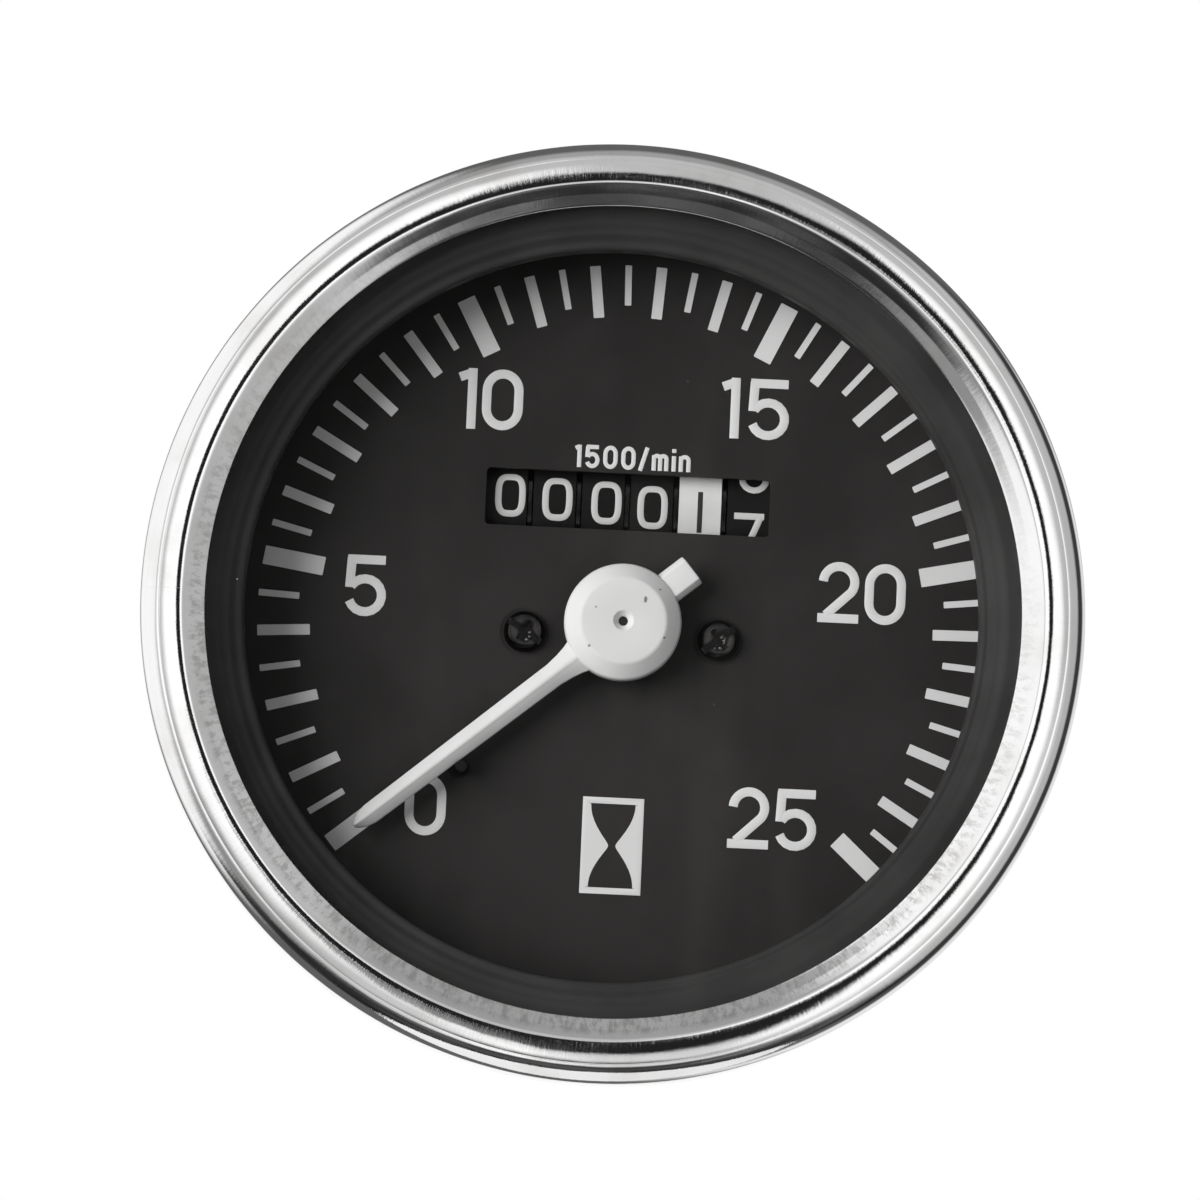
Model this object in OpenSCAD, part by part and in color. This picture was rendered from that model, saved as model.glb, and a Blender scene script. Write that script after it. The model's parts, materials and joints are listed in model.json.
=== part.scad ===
// Panel tachometer with an hour counter, driven by a flexible shaft through a magnet and drag cup.
// The dial faces -Y, +Z is up, and the axis of the case is the Y axis.
// y = 0 is the plane of the panel that the bezel and its gasket seat on.

/* [Bezel] */
// Outer diameter of the chromed bezel
bezel_d = 110; // [108:0.5:116]
// How far the bezel stands out past the case barrel
bezel_overhang = 5; // [4.6:0.1:7]
// Sheet thickness of the bezel
bezel_sheet = 0.6; // [0.4:0.1:0.7]
// Width of the bezel seen from the front, outer edge to lip
bezel_w = 7.4; // [6.8:0.1:8]
// Height of the bezel's ridge above its lip
ridge_h = 1.4; // [1:0.1:2.5]
// Thickness of the rubber ring between the bezel and the panel
panel_gasket_t = 1.5; // [1:0.25:3]

/* [Glass and ring] */
// Thickness of the glass
glass_t = 2; // [1.5:0.25:3]
// How far the glass reaches past the case barrel
glass_overhang = 1; // [0.5:0.1:2]
// Thickness of the rubber ring behind the glass
glass_gasket_t = 1; // [0.5:0.25:2]
// Radius of the black ring's lip
ring_lip_r = 42.85; // [42:0.05:44]
// Sheet thickness of the black ring
ring_sheet = 0.6; // [0.4:0.1:1]

/* [Case] */
// Depth of the case behind the panel plane
case_depth = 62.5; // [62:0.5:80]
// Sheet thickness of the case
case_sheet = 0.9; // [0.6:0.1:1.2]
// Radius of the case's rear corner
case_corner_r = 5; // [3:0.5:8]
// Width of the case's front flange
case_flange_w = 3.4; // [2.5:0.1:3.5]

/* [Dial] */
// Thickness of the dial
dial_t = 0.8; // [0.5:0.1:1]
// Gap between the dial's edge and the inside of the case
dial_gap = 2.1; // [2:0.1:4]
// Sideways offset of the dial and its movement in the case
movement_x = 1.5; // [-1.8:0.1:1.8]
// Outer radius of the scale's ticks
tick_outer_r = 43.2; // [41:0.1:44]
// Length of the major ticks
tick_major_len = 7.2; // [5:0.1:9]
// Length of the medium ticks
tick_medium_len = 6.2; // [4:0.1:8]
// Length of the minor ticks
tick_minor_len = 4.8; // [3:0.1:7]
// Width of the major ticks
tick_major_w = 2.2; // [1.5:0.1:2.5]
// Width of the medium ticks
tick_medium_w = 1.25; // [0.8:0.05:1.6]
// Width of the minor ticks
tick_minor_w = 0.77; // [0.5:0.01:1]
// Thickness of the printed ink
ink_t = 0.08; // [0.05:0.01:0.2]
// Distance of each dial screw from the centre line
dial_screw_x = 11.45; // [10:0.05:13]
// Diameter of the dial screws' heads
dial_screw_head_d = 4.9; // [4:0.1:6]

/* [Pointer] */
// Length of the pointer from its axis
pointer_len = 39.6; // [34:0.1:41]
// Width of the blade at the hub
blade_w = 3; // [2.4:0.1:4]
// Width of the blade at its tip's shoulder
blade_tip_w = 2.45; // [1.5:0.05:3]
// Diameter of the hub
hub_d = 13.8; // [12:0.1:16]
// Diameter of the hub's flat top
hub_top_d = 10.1; // [8:0.1:11]
// Height of the hub
hub_h = 3.2; // [2.5:0.1:4]
// Length of the tail from the axis
tail_len = 10.3; // [9:0.1:12]
// Width of the tail
tail_w = 3.9; // [3:0.1:5]
// Angle of the resting pointer, counter-clockwise from +X
rest_angle = 219.9; // [215:0.1:225]
// Radius at which the stop pin stands
stop_r = 25.5; // [20:0.5:30]
// Diameter of the stop pin
stop_d = 1.3; // [0.8:0.1:2]

/* [Counter] */
// Diameter of the counter's drums
drum_d = 24; // [23:0.25:24.5]
// Width of each drum's face
drum_w = 5; // [4.8:0.05:5.15]
// Pitch of the drums along their shaft
drum_pitch = 5.75; // [5.7:0.05:5.85]
// Height of the counter's axis above the dial's centre
counter_z = 14.7; // [14.5:0.1:15.5]
// Width of the dial's window
window_w = 33.6; // [32:0.1:35]
// Height of the dial's window
window_h = 6.8; // [6:0.1:8]
// Thickness of the plates that carry the transfer pinions
carrier_t = 0.45; // [0.3:0.05:0.5]
// Diameter of the counter's shaft
counter_shaft_d = 3; // [2:0.1:3.6]

/* [Drive] */
// Outer diameter of the spigot's thread for the cable
spigot_d = 18; // [16:0.5:19.5]
// Outer diameter of the spigot's thread in the case
spigot_seat_d = 20; // [20:0.5:22]
// Length of the spigot behind its nut
spigot_len = 13; // [11:0.5:17]
// Diameter of the spindle's journal
journal_d = 8; // [7:0.1:9]
// Width across the flats of the square socket
socket_w = 2.7; // [2.5:0.1:3.2]
// Depth of the square socket
socket_depth = 10; // [6:0.5:11]
// Distance from the spindle to the cross shaft
cross_shaft_z = 7.5; // [7.3:0.1:8]
// Pitch radius of the spindle's worm
worm_r = 2.6; // [2.5:0.1:2.8]
// Pitch radius of the cross shaft's worm
cross_worm_r = 3.2; // [3:0.1:3.4]
// Pitch radius of the lay shaft's worm
lay_worm_r = 2.5; // [2.4:0.1:2.6]
// Distance of the lay shaft from the counter's axis
lay_shaft_up = 7.75; // [7.6:0.05:7.9]
// Face width of the worm wheels
wheel_w = 2.4; // [1.6:0.1:2.6]

/* [Magnet and cup] */
// Diameter of the magnet
magnet_d = 30; // [26:0.5:32]
// Thickness of the magnet
magnet_t = 3.6; // [3:0.1:4]
// Radial air gap between the magnet and the drag cup
air_gap = 0.9; // [0.6:0.1:1.2]
// Sheet thickness of the drag cup
cup_sheet = 0.6; // [0.4:0.1:0.8]
// Sheet thickness of the flux cup
flux_sheet = 1.4; // [1:0.1:2]
// Outer radius of the hairspring
hairspring_r = 8; // [6:0.25:9]
// Turns of the hairspring
hairspring_turns = 4.5; // [3.5:1:5.5]

/* [Fixing] */
// Distance of each mounting stud from the axis
stud_x = 30; // [29:0.5:32]
// Diameter of the mounting studs
stud_d = 5; // [4:0.5:6]
// Length of the studs behind the case
stud_len = 15; // [12:0.5:20]
// Thickness of the panel that the clamp bow is set for
panel_t = 5; // [1:0.5:8]
// Sheet thickness of the clamp bow
bow_t = 1.5; // [1:0.1:2]
// Width of the clamp bow's legs
bow_w = 16; // [12:0.5:20]

/* [Lamp] */
// Distance of the lamp holder below the axis
lamp_down = 36; // [35:0.25:37]
// Diameter of the lamp holder's barrel
lamp_d = 12.8; // [11:0.1:13.5]
// Diameter of the bulb's cap
bulb_cap_d = 9; // [8:0.1:9.5]

/* [Hidden] */
$fn = 72;

// Clearances
running = 0.04;
loose = 0.15;

// Places along the axis, from the panel plane forwards
bezel_back = -panel_gasket_t;
case_flange_back = bezel_back - bezel_sheet;
case_flange_front = case_flange_back - case_sheet;
ring_front = case_flange_front - ring_sheet;
glass_back = ring_front - glass_gasket_t;
glass_front = glass_back - glass_t;
lip_front = glass_front - bezel_sheet;
bezel_r = bezel_d / 2;
bezel_lip_r = bezel_r - bezel_w;
case_r = bezel_r - bezel_overhang;
glass_r = case_r + glass_overhang;
flange_r = case_r + case_flange_w;

// The bezel's profile, a slope up from the lip to a broad roll and a narrow one round the edge,
// as [share of the way from the lip to the outer edge, outward lean in degrees]
bezel_leans = [[0, -28], [0.14, -28], [0.16, -34], [0.27, -32], [0.305, -22], [0.35, -9], [0.39, 0],
    [0.46, 6], [0.58, 13], [0.66, 20], [0.69, 24], [0.7, -18], [0.72, -7], [0.75, 2], [0.8, 14],
    [0.85, 33], [0.905, 50], [0.945, 62], [0.98, 74], [1, 86]];
lip_w = 1.1;

// The black ring's creases between its lip's bend and the case's mouth, as [share of the way, depth]
ring_creases = [[0.387, 0], [0.303, 0.4], [0.159, 0.6], [0.087, 0.9], [0.038, 1.2]];
ring_bend_r = ring_sheet + 0.1;
ring_bend_y = ring_front + ring_creases[4][1] + ring_bend_r;
ring_collar = 1.5;

// Worm stages: each wheel's pitch radius is what is left of its centre distance
cross_teeth = 15;
lay_teeth = 20;
counter_teeth = 15;
cross_wheel_r = cross_shaft_z - worm_r;
lay_z = counter_z + lay_shaft_up;
lay_wheel_r = lay_z - cross_shaft_z - cross_worm_r;
counter_wheel_r = lay_shaft_up - lay_worm_r;
function module_of(pitch_r, teeth) = 2 * pitch_r / teeth;
addendum = 0.9;
dedendum = 1.1;
function tip_of(pitch_r, teeth) = pitch_r + addendum * module_of(pitch_r, teeth);

// Places along the axis, from the case's back forwards to the dial
back_inner = case_depth - case_sheet;
spigot_flange_t = 1.6;
wheel_gap = 0.2;
cross_y = back_inner - spigot_flange_t - wheel_gap - tip_of(cross_wheel_r, cross_teeth);
rear_plate_back = cross_y - tip_of(cross_wheel_r, cross_teeth) - 0.6;
rear_plate_t = 2.2;
flux_back = rear_plate_back - rear_plate_t;
magnet_back = flux_back - flux_sheet - air_gap;
magnet_front = magnet_back - magnet_t;
cup_front = magnet_front - air_gap - cup_sheet;
cup_inner_r = magnet_d / 2 + air_gap;
flux_inner_r = cup_inner_r + cup_sheet + air_gap;
flux_r = flux_inner_r + flux_sheet;
hairspring_front = cup_front - 1.2;
hairspring_w = 0.5;
strip_back = hairspring_front - 0.9;
strip_t = 1.2;
strip_front = strip_back - strip_t;
drum_gap = 0.8;
counter_y = strip_front - drum_gap - drum_d / 2;
dial_back = counter_y - drum_d / 2 - drum_gap;
bridge_t = 1.2;
dial_y = dial_back - dial_t;

// Counter
drums = 6;
counter_x = 0.1;
function drum_x(k) = counter_x + (k - (drums + 1) / 2) * drum_pitch;
drum_wall = 0.9;
ring_teeth = 20;
pinion_teeth = 6;
transfer_m = (drum_d / 2 - drum_wall) / (ring_teeth / 2 + dedendum);
pinion_offset = transfer_m * (ring_teeth - pinion_teeth) / 2;
pinion_tip_r = transfer_m * (pinion_teeth / 2 + addendum);
pinion_neck_r = transfer_m * (pinion_teeth / 2 - dedendum) - 0.1;
lock_r = transfer_m * (ring_teeth / 2 - 0.05);
ring_cavity = 2.2;
lock_cavity = 1.6;
shaft_r = counter_shaft_d / 2;
drum_hub_r = shaft_r + 1.2;
lay_worm_tip_r = lay_worm_r + addendum * module_of(counter_wheel_r, counter_teeth);
lay_x = drum_x(drums) + drum_w / 2 + lay_worm_tip_r + 1.4;
cheek_gap = 0.8;
cheek_left = drum_x(1) - drum_w / 2 - cheek_gap - strip_t;
cheek_right = lay_x + lay_worm_tip_r + 0.5;
lay_shaft_r = 1.25;
cross_shaft_r = 1.5;
lay_lug_front = counter_y - 5.5 - strip_t;
cross_worm_half = 6.5;
shaft_end = 0.6;

// Dial
dial_r = case_r - case_sheet - dial_gap;

// Scale: values 0, 5, 10 ... 25 and the angles of their ticks
scale_angles = [218.9, 170.9, 118, 65.2, 12.4, -41.8];
scale_halves = [8, 10, 10, 10, 10];

// Frame pillars, as [x, z]
pillar_r = 2.4;
upper_pillar = [33, 10];
lower_pillar = [24, -20];
pillar_places = [upper_pillar, [-upper_pillar[0], upper_pillar[1]], [-lower_pillar[0], lower_pillar[1]],
    lower_pillar];

// Pointer
staff_r = 0.55;
hub_back = dial_y - 2.4;
hub_front = hub_back - hub_h;
blade_back = hub_back - 0.3;
blade_t = 0.7;
roof_h = 0.8;
ridge_half = 0.1;
tip_len = 2.6;
tip_half = 0.2;
flare_len = 4;
flare_w = 0.8;
tail_slope = 0.6;
pin_gap = 0.05;

// Spigot, spindle and fixing
spigot_r = spigot_d / 2;
spigot_seat_r = spigot_seat_d / 2;
nut_flats = spigot_seat_d + 5;
nut_t = 3;
spigot_shoulder = case_depth + nut_t + 1;
spigot_back = case_depth + nut_t + spigot_len;
spigot_flange_r = spigot_seat_r + 2;
spigot_chamfer = 0.5;
bush_wall = 2.5;
bush_r = journal_d / 2 + bush_wall;
bush_back = spigot_back - 6;
spindle_back = bush_back + 1;
spindle_r = worm_r - dedendum * module_of(cross_wheel_r, cross_teeth);
bow_gap = 0.8;
bow_front = case_depth + nut_t + bow_gap;
bow_back = bow_front + bow_t;
bow_hole_r = nut_flats / sqrt(3) + bow_gap;
bow_rim = 5;
bow_leg_x = case_r + 1.1;
washer_t = 1;
stud_r = stud_d / 2;
stud_chamfer = 0.5;
stud_head_t = 1;
stud_nut_t = 5;
knurl_r = 6;
screw_head_r = 2.8;
screw_head_t = 1.8;

// Lamp: how far its pieces reach into the case and out of it
lamp_r = lamp_d / 2;
lamp_in = 12;
lamp_out = 7;
lamp_rim_w = 2.2;
lamp_rim_t = 1.2;
lamp_bore_r = 2.6;
bulb_cap_back = case_depth - 1;
bulb_cap_len = 13;
bulb_len = 10;
insulator_r = 4.2;
insulator_t = 2.4;
insulator_front = case_depth + lamp_out - 2;
contact_r = 1.2;
contact_front = case_depth + 1;
contact_back = insulator_front + 3;
blade_terminal = [6.3, 8, 0.8];

// Small pieces of the movement
dial_screw_z = -1.3;
dial_screw_r = 1.25;
rivet_r = 1.5;
screw_r = 1.5;
staff_bush_r = 2;
spindle_hole_r = 5;
magnet_seat_r = spindle_r - 0.5;
magnet_chamfer = 0.5;
tab_w = 5;
worm_length = 9;
worm_steps = 16;
transfer_angle = 100;
collet_r = 1.8;
hairspring_t = 0.15;
spiral_steps = 108;

// A solid of revolution about the Y axis: the profile's x is the radius and its y is the place along Y
module turned(x = 0, z = 0) translate([x, 0, z]) rotate([-90, 0, 0]) rotate_extrude() children();

// Places a piece of the dial or of the movement, which sit off the case's axis
module on_movement() translate([movement_x, 0, 0]) children();

// A flat piece in the X-Z plane, from y to y + t, drawn as it is seen from the front
module flat(y, t) translate([0, y + t, 0]) rotate([90, 0, 0]) linear_extrude(t) children();

// A round bar along Y
module bar(x, z, r, y0, y1) translate([x, y0, z]) rotate([-90, 0, 0]) cylinder(r = r, h = y1 - y0);

// A round bar along X
module cross_bar(y, z, r, x0, x1) translate([x0, y, z]) rotate([0, 90, 0]) cylinder(r = r, h = x1 - x0);

// Points of an arc, as [radius, place along Y]
function arc(cx, cy, r, a0, a1, n = 8) =
    [for (i = [0:n]) let (a = a0 + (a1 - a0) * i / n) [cx + r * cos(a), cy + r * sin(a)]];

// A bent sheet's far side: the path moved by t to its left
function left_of(a, b) = let (d = b - a) [-d[1], d[0]] / norm(d);
function shifted(path, t) = let (last = len(path) - 1) [for (i = [0:last])
    let (n1 = left_of(path[max(i - 1, 0)], path[max(i, 1)]),
        n2 = left_of(path[min(i, last - 1)], path[min(i + 1, last)]),
        n = (n1 + n2) / norm(n1 + n2))
    path[i] + n * t / max(n * n1, 0.6)];
function reversed(path) = [for (i = [len(path) - 1:-1:0]) path[i]];
module sheet(path, t) polygon(concat(path, reversed(shifted(path, t))));

// A toothed outline: thickness is a share of the circular pitch at the root, and thins towards the tip
function toothed(teeth, root_r, tip_r, root_w, tip_w, turn = 0) = [for (i = [0:teeth - 1])
    let (a = turn + 360 * i / teeth, h = root_w / 2 / root_r * 180 / PI, k = tip_w / 2 / tip_r * 180 / PI)
    for (p = [[root_r, -h], [tip_r, -k], [tip_r, k], [root_r, h]]) p[0] * [cos(a + p[1]), sin(a + p[1])]];

module wheel_outline(teeth, pitch_r, turn = 0) {
    m = module_of(pitch_r, teeth);
    polygon(toothed(teeth, pitch_r - dedendum * m, tip_of(pitch_r, teeth), 0.5 * PI * m, 0.22 * PI * m,
        turn));
}

// A right-hand worm thread about +Z, with a crest on the +X side at z = 0 when turn is 0
module worm_thread(r, m, length, turn) {
    pitch = PI * m;
    turns = length / pitch - 1;
    root = r - dedendum * m - 0.1;
    tip = r + (addendum - 0.1) * m;
    n = round(turns * worm_steps);
    points = [for (i = [0:n]) let (a = 360 * turns * (i / n - 0.5), z = pitch * turns * (i / n - 0.5))
        for (q = [[root, -0.24], [tip, -0.1], [tip, 0.1], [root, 0.24]])
            [q[0] * cos(a + turn), q[0] * sin(a + turn), z + q[1] * pitch]];
    sides = [for (i = [0:n - 1]) for (j = [0:3]) let (k = (j + 1) % 4, a = 4 * i)
        for (f = [[a + j, a + k, a + 4 + k], [a + j, a + 4 + k, a + 4 + j]]) f];
    ends = [[2, 1, 0], [3, 2, 0], [4 * n, 4 * n + 1, 4 * n + 2], [4 * n, 4 * n + 2, 4 * n + 3]];
    polyhedron(points, concat(sides, ends));
}

// Bezel and what it clamps
function fall(i) = i == 0 ? 0 : fall(i - 1) + (bezel_leans[i][0] - bezel_leans[i - 1][0])
    * tan((bezel_leans[i - 1][1] + bezel_leans[i][1]) / 2);
function bezel_path() = let (last = len(bezel_leans) - 1, crest = min([for (i = [0:last]) fall(i)]))
    concat([for (i = [0:last])
        [bezel_lip_r + bezel_leans[i][0] * bezel_w, lip_front - ridge_h * fall(i) / crest]],
        [[bezel_r, bezel_back]]);

module bezel_ring() color([0.86, 0.87, 0.88]) turned() {
    sheet(bezel_path(), bezel_sheet);
    translate([case_r + 1.2, bezel_back - bezel_sheet])
        square([bezel_overhang - 1.2 - bezel_sheet / 2, bezel_sheet]);
}

module glass() color([0.85, 0.92, 0.93, 0.35]) turned() translate([0, glass_front])
    square([glass_r, glass_t]);

module glass_gasket() color([0.1, 0.1, 0.1]) turned() translate([bezel_lip_r + lip_w, glass_back])
    square([glass_r + loose - bezel_lip_r - lip_w, glass_gasket_t]);

module inner_ring() {
    slope_r = ring_lip_r + 1.5 * ring_bend_r;
    slope_w = case_r - case_sheet - slope_r;
    color([0.12, 0.12, 0.12]) turned() sheet(reversed(concat([[flange_r - loose, ring_front]],
        [for (c = ring_creases) [slope_r + slope_w * c[0], ring_front + c[1]]],
        arc(ring_lip_r + ring_bend_r, ring_bend_y, ring_bend_r, -60, -180, 6),
        [[ring_lip_r, ring_bend_y + ring_collar]])), ring_sheet);
}

module panel_gasket() color([0.08, 0.08, 0.08]) turned() translate([case_r + running, -panel_gasket_t])
    square([bezel_overhang - 1, panel_gasket_t]);

// Case
module case() {
    corner = case_r - case_corner_r;
    color([0.16, 0.16, 0.17]) difference() {
        turned() sheet(concat([[0, case_depth]],
            reversed(arc(corner, case_depth - case_corner_r, case_corner_r, 0, 90)),
            [[case_r, case_flange_back], [flange_r, case_flange_back]]), -case_sheet);
        bar(0, -lamp_down, lamp_r + running, back_inner - 1, case_depth + 1);
        for (side = [-1, 1]) bar(side * stud_x, 0, stud_r, back_inner - 1, case_depth + 1);
        on_movement() {
            bar(0, 0, spigot_seat_r + running, back_inner - 1, case_depth + 1);
            for (p = pillar_places) bar(p[0], p[1], screw_r, back_inner - 1, case_depth + 1);
        }
    }
}

// Dial
module dial_holes() {
    circle(r = 2);
    translate([counter_x, counter_z]) square([window_w, window_h], center = true);
    for (side = [-1, 1]) translate([side * dial_screw_x, dial_screw_z]) circle(r = dial_screw_r);
    translate(stop_place()) circle(d = stop_d);
}

module dial() color([0.15, 0.15, 0.15]) flat(dial_y, dial_t) difference() {
    circle(r = dial_r);
    dial_holes();
}

module tick(angle, length, w) rotate(angle) translate([tick_outer_r - length, -w / 2]) square([length, w]);

module scale_print() color([0.75, 0.75, 0.74]) flat(dial_y - ink_t, ink_t) {
    for (i = [0:len(scale_angles) - 2], j = [0:scale_halves[i] - 1]) {
        angle = scale_angles[i] + (scale_angles[i + 1] - scale_angles[i]) * j / scale_halves[i];
        if (j == 0) tick(angle, tick_major_len, tick_major_w);
        else if (j % 2 == 0) tick(angle, tick_medium_len, tick_medium_w);
        else tick(angle, tick_minor_len, tick_minor_w);
    }
    tick(scale_angles[len(scale_angles) - 1], tick_major_len, tick_major_w);
}

module dial_screws() color([0.1, 0.1, 0.1]) for (side = [-1, 1])
    turned(side * dial_screw_x, dial_screw_z) difference() {
        union() {
            translate([0, dial_y - 1.7]) square([dial_screw_head_d / 2, 1.7]);
            translate([0, dial_y - 0.1]) square([dial_screw_r, dial_t + bridge_t + 3]);
        }
        translate([0, dial_y - 2]) square([0.8, 1.1]);
    }

// The stop pin stands where the resting pointer's lower edge meets it
function blade_half(r) = (blade_w + (blade_tip_w - blade_w) * r / (pointer_len - tip_len)) / 2;
function stop_place() = let (a = rest_angle + asin((blade_half(stop_r) + stop_d / 2 + pin_gap) / stop_r))
    stop_r * [cos(a), sin(a)];

module stop_pin() color([0.2, 0.2, 0.2]) bar(stop_place()[0], stop_place()[1], stop_d / 2,
    hub_back - 1.6, dial_back);

// An outline with a round corner at each place
module rounded_web(places, r) hull() for (p = places) translate(p) circle(r = r, $fn = 32);

// Movement frame
module dial_bridge() color([0.72, 0.72, 0.7]) flat(dial_back, bridge_t) difference() {
    rounded_web(pillar_places, pillar_r + 1.6);
    translate([-cheek_right - 1, counter_z - 6]) square([2 * cheek_right + 2, 20]);
    for (p = pillar_places) translate(p) circle(r = rivet_r);
    for (side = [-1, 1]) translate([side * dial_screw_x, dial_screw_z]) circle(r = dial_screw_r);
    circle(r = staff_bush_r);
    translate(stop_place()) circle(r = 1.5);
}

module pillars() color([0.75, 0.7, 0.5]) for (p = pillar_places) turned(p[0], p[1]) {
    translate([0, dial_back]) square([rivet_r, bridge_t + 1]);
    translate([0, dial_back + bridge_t]) square([pillar_r, flux_back - dial_back - bridge_t]);
}

module rear_plate() {
    leg_r = 3;
    bearing_w = 2;
    lug_half = 3.4;
    color([0.6, 0.6, 0.6]) difference() {
        union() {
            flat(flux_back, rear_plate_t) difference() {
                union() {
                    rounded_web(pillar_places, leg_r + 1);
                    rounded_web([[0, 0], [lay_x, lay_z]], 6);
                }
                circle(r = spindle_hole_r);
            }
            for (p = pillar_places) bar(p[0], p[1], leg_r, rear_plate_back - 0.5, back_inner);
            for (x = cross_bearings()) translate([x, rear_plate_back - 0.5, cross_shaft_z - lug_half])
                cube([bearing_w, cross_y - rear_plate_back + 0.5 + lug_half, 2 * lug_half]);
        }
        cross_bar(cross_y, cross_shaft_z, cross_shaft_r + running, cross_bearings()[0] - 1, case_r);
        bar(lay_x, lay_z, lay_shaft_r + running, flux_back - 1, rear_plate_back + 1);
        for (p = pillar_places) bar(p[0], p[1], screw_r, rear_plate_back, back_inner + 1);
    }
}

function cross_bearings() = [-8, lay_x + 7.5];

// Counter frame: a back strip with two cheeks and a lug for the lay shaft's front end
module counter_frame() {
    half = drum_d / 2 - 2.5;
    reach = 9;
    lug_half = 2.6;
    color([0.7, 0.7, 0.68]) difference() {
        union() {
            flat(strip_front, strip_t) union() {
                translate([cheek_left, -7]) square([cheek_right + strip_t - cheek_left, lay_z + 10.5]);
                rounded_web([pillar_places[0], pillar_places[1]], pillar_r + 2);
            }
            for (x = [cheek_left, cheek_right]) translate([x, counter_y - reach, counter_z - half])
                cube([strip_t, strip_back - counter_y + reach, 2 * half + 2]);
            translate([lay_x - lug_half, lay_lug_front, lay_z - lug_half])
                cube([cheek_right - lay_x + lug_half + strip_t / 2, strip_t, 2 * lug_half]);
            translate([cheek_right, lay_lug_front, lay_z - 4])
                cube([strip_t, 6.5, 4 + lug_half]);
        }
        bar(0, 0, staff_r + 1, strip_front - 1, strip_back + 1);
        bar(lay_x, lay_z, lay_shaft_r + running, lay_lug_front - 1, strip_back + 1);
        cross_bar(counter_y, counter_z, shaft_r, cheek_left - 1, cheek_right + strip_t + 1);
        for (i = [0, 1])
            bar(pillar_places[i][0], pillar_places[i][1], pillar_r, strip_front - 1, strip_back + 1);
        for (k = [1:drums - 1])
            translate([carrier_x(k) - loose / 2, strip_front - 1, counter_z - tab_w / 2 - loose])
                cube([carrier_t + loose, strip_t + 2, tab_w + 2 * loose]);
    }
}

function carrier_x(k) = drum_x(k) + drum_pitch / 2 - carrier_t / 2;

module staff_bush() color([0.8, 0.65, 0.3]) turned() difference() {
    translate([0, dial_back]) square([staff_bush_r, bridge_t + 1.2]);
    translate([0, dial_back - 1]) square([staff_r + running, bridge_t + 4]);
}

// Pointer, staff and drag cup
// A bar along X with a roof on its front, between wide flat skirts; foot and ridge are half widths
module roofed(x0, x1, foot, ridge) translate([x0, 0, 0]) rotate([0, 90, 0]) linear_extrude(x1 - x0)
    polygon([for (p = [[-hub_d / 2, 0], [hub_d / 2, 0], [hub_d / 2, blade_t], [foot, blade_t],
        [ridge, blade_t + roof_h], [-ridge, blade_t + roof_h], [-foot, blade_t], [-hub_d / 2, blade_t]])
        [p[0], blade_back - p[1]]]);

function blade_side(s) = let (root = hub_d / 2 - 1) concat([[0, s * (blade_half(root) + flare_w)]],
    [for (i = [0:6]) let (u = i / 6, x = root + flare_len * u)
        [x, s * (blade_half(x) + flare_w * (1 - u) * (1 - u))]],
    [[pointer_len - tip_len, s * blade_tip_w / 2], [pointer_len, s * tip_half]]);

module blade() intersection() {
    roofed(-1, pointer_len + 1, blade_w / 2, ridge_half);
    flat(hub_front, hub_h + 1) polygon(concat(blade_side(-1), reversed(blade_side(1))));
}

// The end's slope is drawn twice as high as the roof, so that it runs out through the roof's top
module tail() intersection() {
    roofed(-tail_len - 1, 1, tail_w / 2 + ridge_half, tail_w / 2 - tail_slope);
    linear_extrude(tail_w, center = true) polygon([[0.5, hub_back + 1], [-tail_len, hub_back + 1],
        [-tail_len, blade_back - blade_t], [2 * tail_slope - tail_len, blade_back - blade_t - 2 * roof_h],
        [0.5, blade_back - blade_t - 2 * roof_h]]);
}

module pointer() {
    edge = 1.2;
    dimple_r = 1.15;
    color([0.9, 0.9, 0.88]) difference() {
        union() {
            turned() polygon([[0, hub_back], [hub_d / 2, hub_back], [hub_d / 2, hub_back - edge],
                [hub_top_d / 2, hub_front], [0, hub_front]]);
            rotate([0, -rest_angle, 0]) {
                blade();
                tail();
            }
        }
        bar(0, 0, staff_r, hub_front - 1, hub_back + 1);
        turned() polygon([[0, hub_front - 0.1], [dimple_r + 0.1, hub_front - 0.1],
            [0, hub_front + dimple_r]]);
    }
}

module pointer_staff() color([0.7, 0.7, 0.72]) turned() {
    translate([0, hub_front + 1]) square([staff_r, cup_front - hub_front - 1]);
    translate([0, cup_front]) square([staff_r - 0.15, magnet_front - cup_front + 1.5]);
    translate([0, cup_front - 0.3]) square([2.2, 0.3]);
}

module drag_cup() color([0.8, 0.8, 0.82]) turned() difference() {
    translate([staff_r - 0.15, cup_front]) square([cup_inner_r + cup_sheet - staff_r + 0.15,
        magnet_back + 0.5 - cup_front]);
    translate([0, cup_front + cup_sheet]) square([cup_inner_r, magnet_back - cup_front]);
}

module hairspring_collet() color([0.8, 0.65, 0.3]) turned() translate([staff_r, hairspring_front - 0.4])
    square([collet_r - staff_r, hairspring_w + 0.8]);

// A flat spiral from the collet to the regulator's pin
function spiral(side) = [for (i = [0:spiral_steps]) let (u = i / spiral_steps,
    r = collet_r + hairspring_t / 2 + (hairspring_r - collet_r) * u + side * hairspring_t / 2,
    a = 180 - 360 * hairspring_turns * (1 - u)) r * [cos(a), sin(a)]];
module hairspring() color([0.75, 0.55, 0.3]) flat(hairspring_front, hairspring_w)
    polygon(concat(spiral(-1), reversed(spiral(1))));

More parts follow.
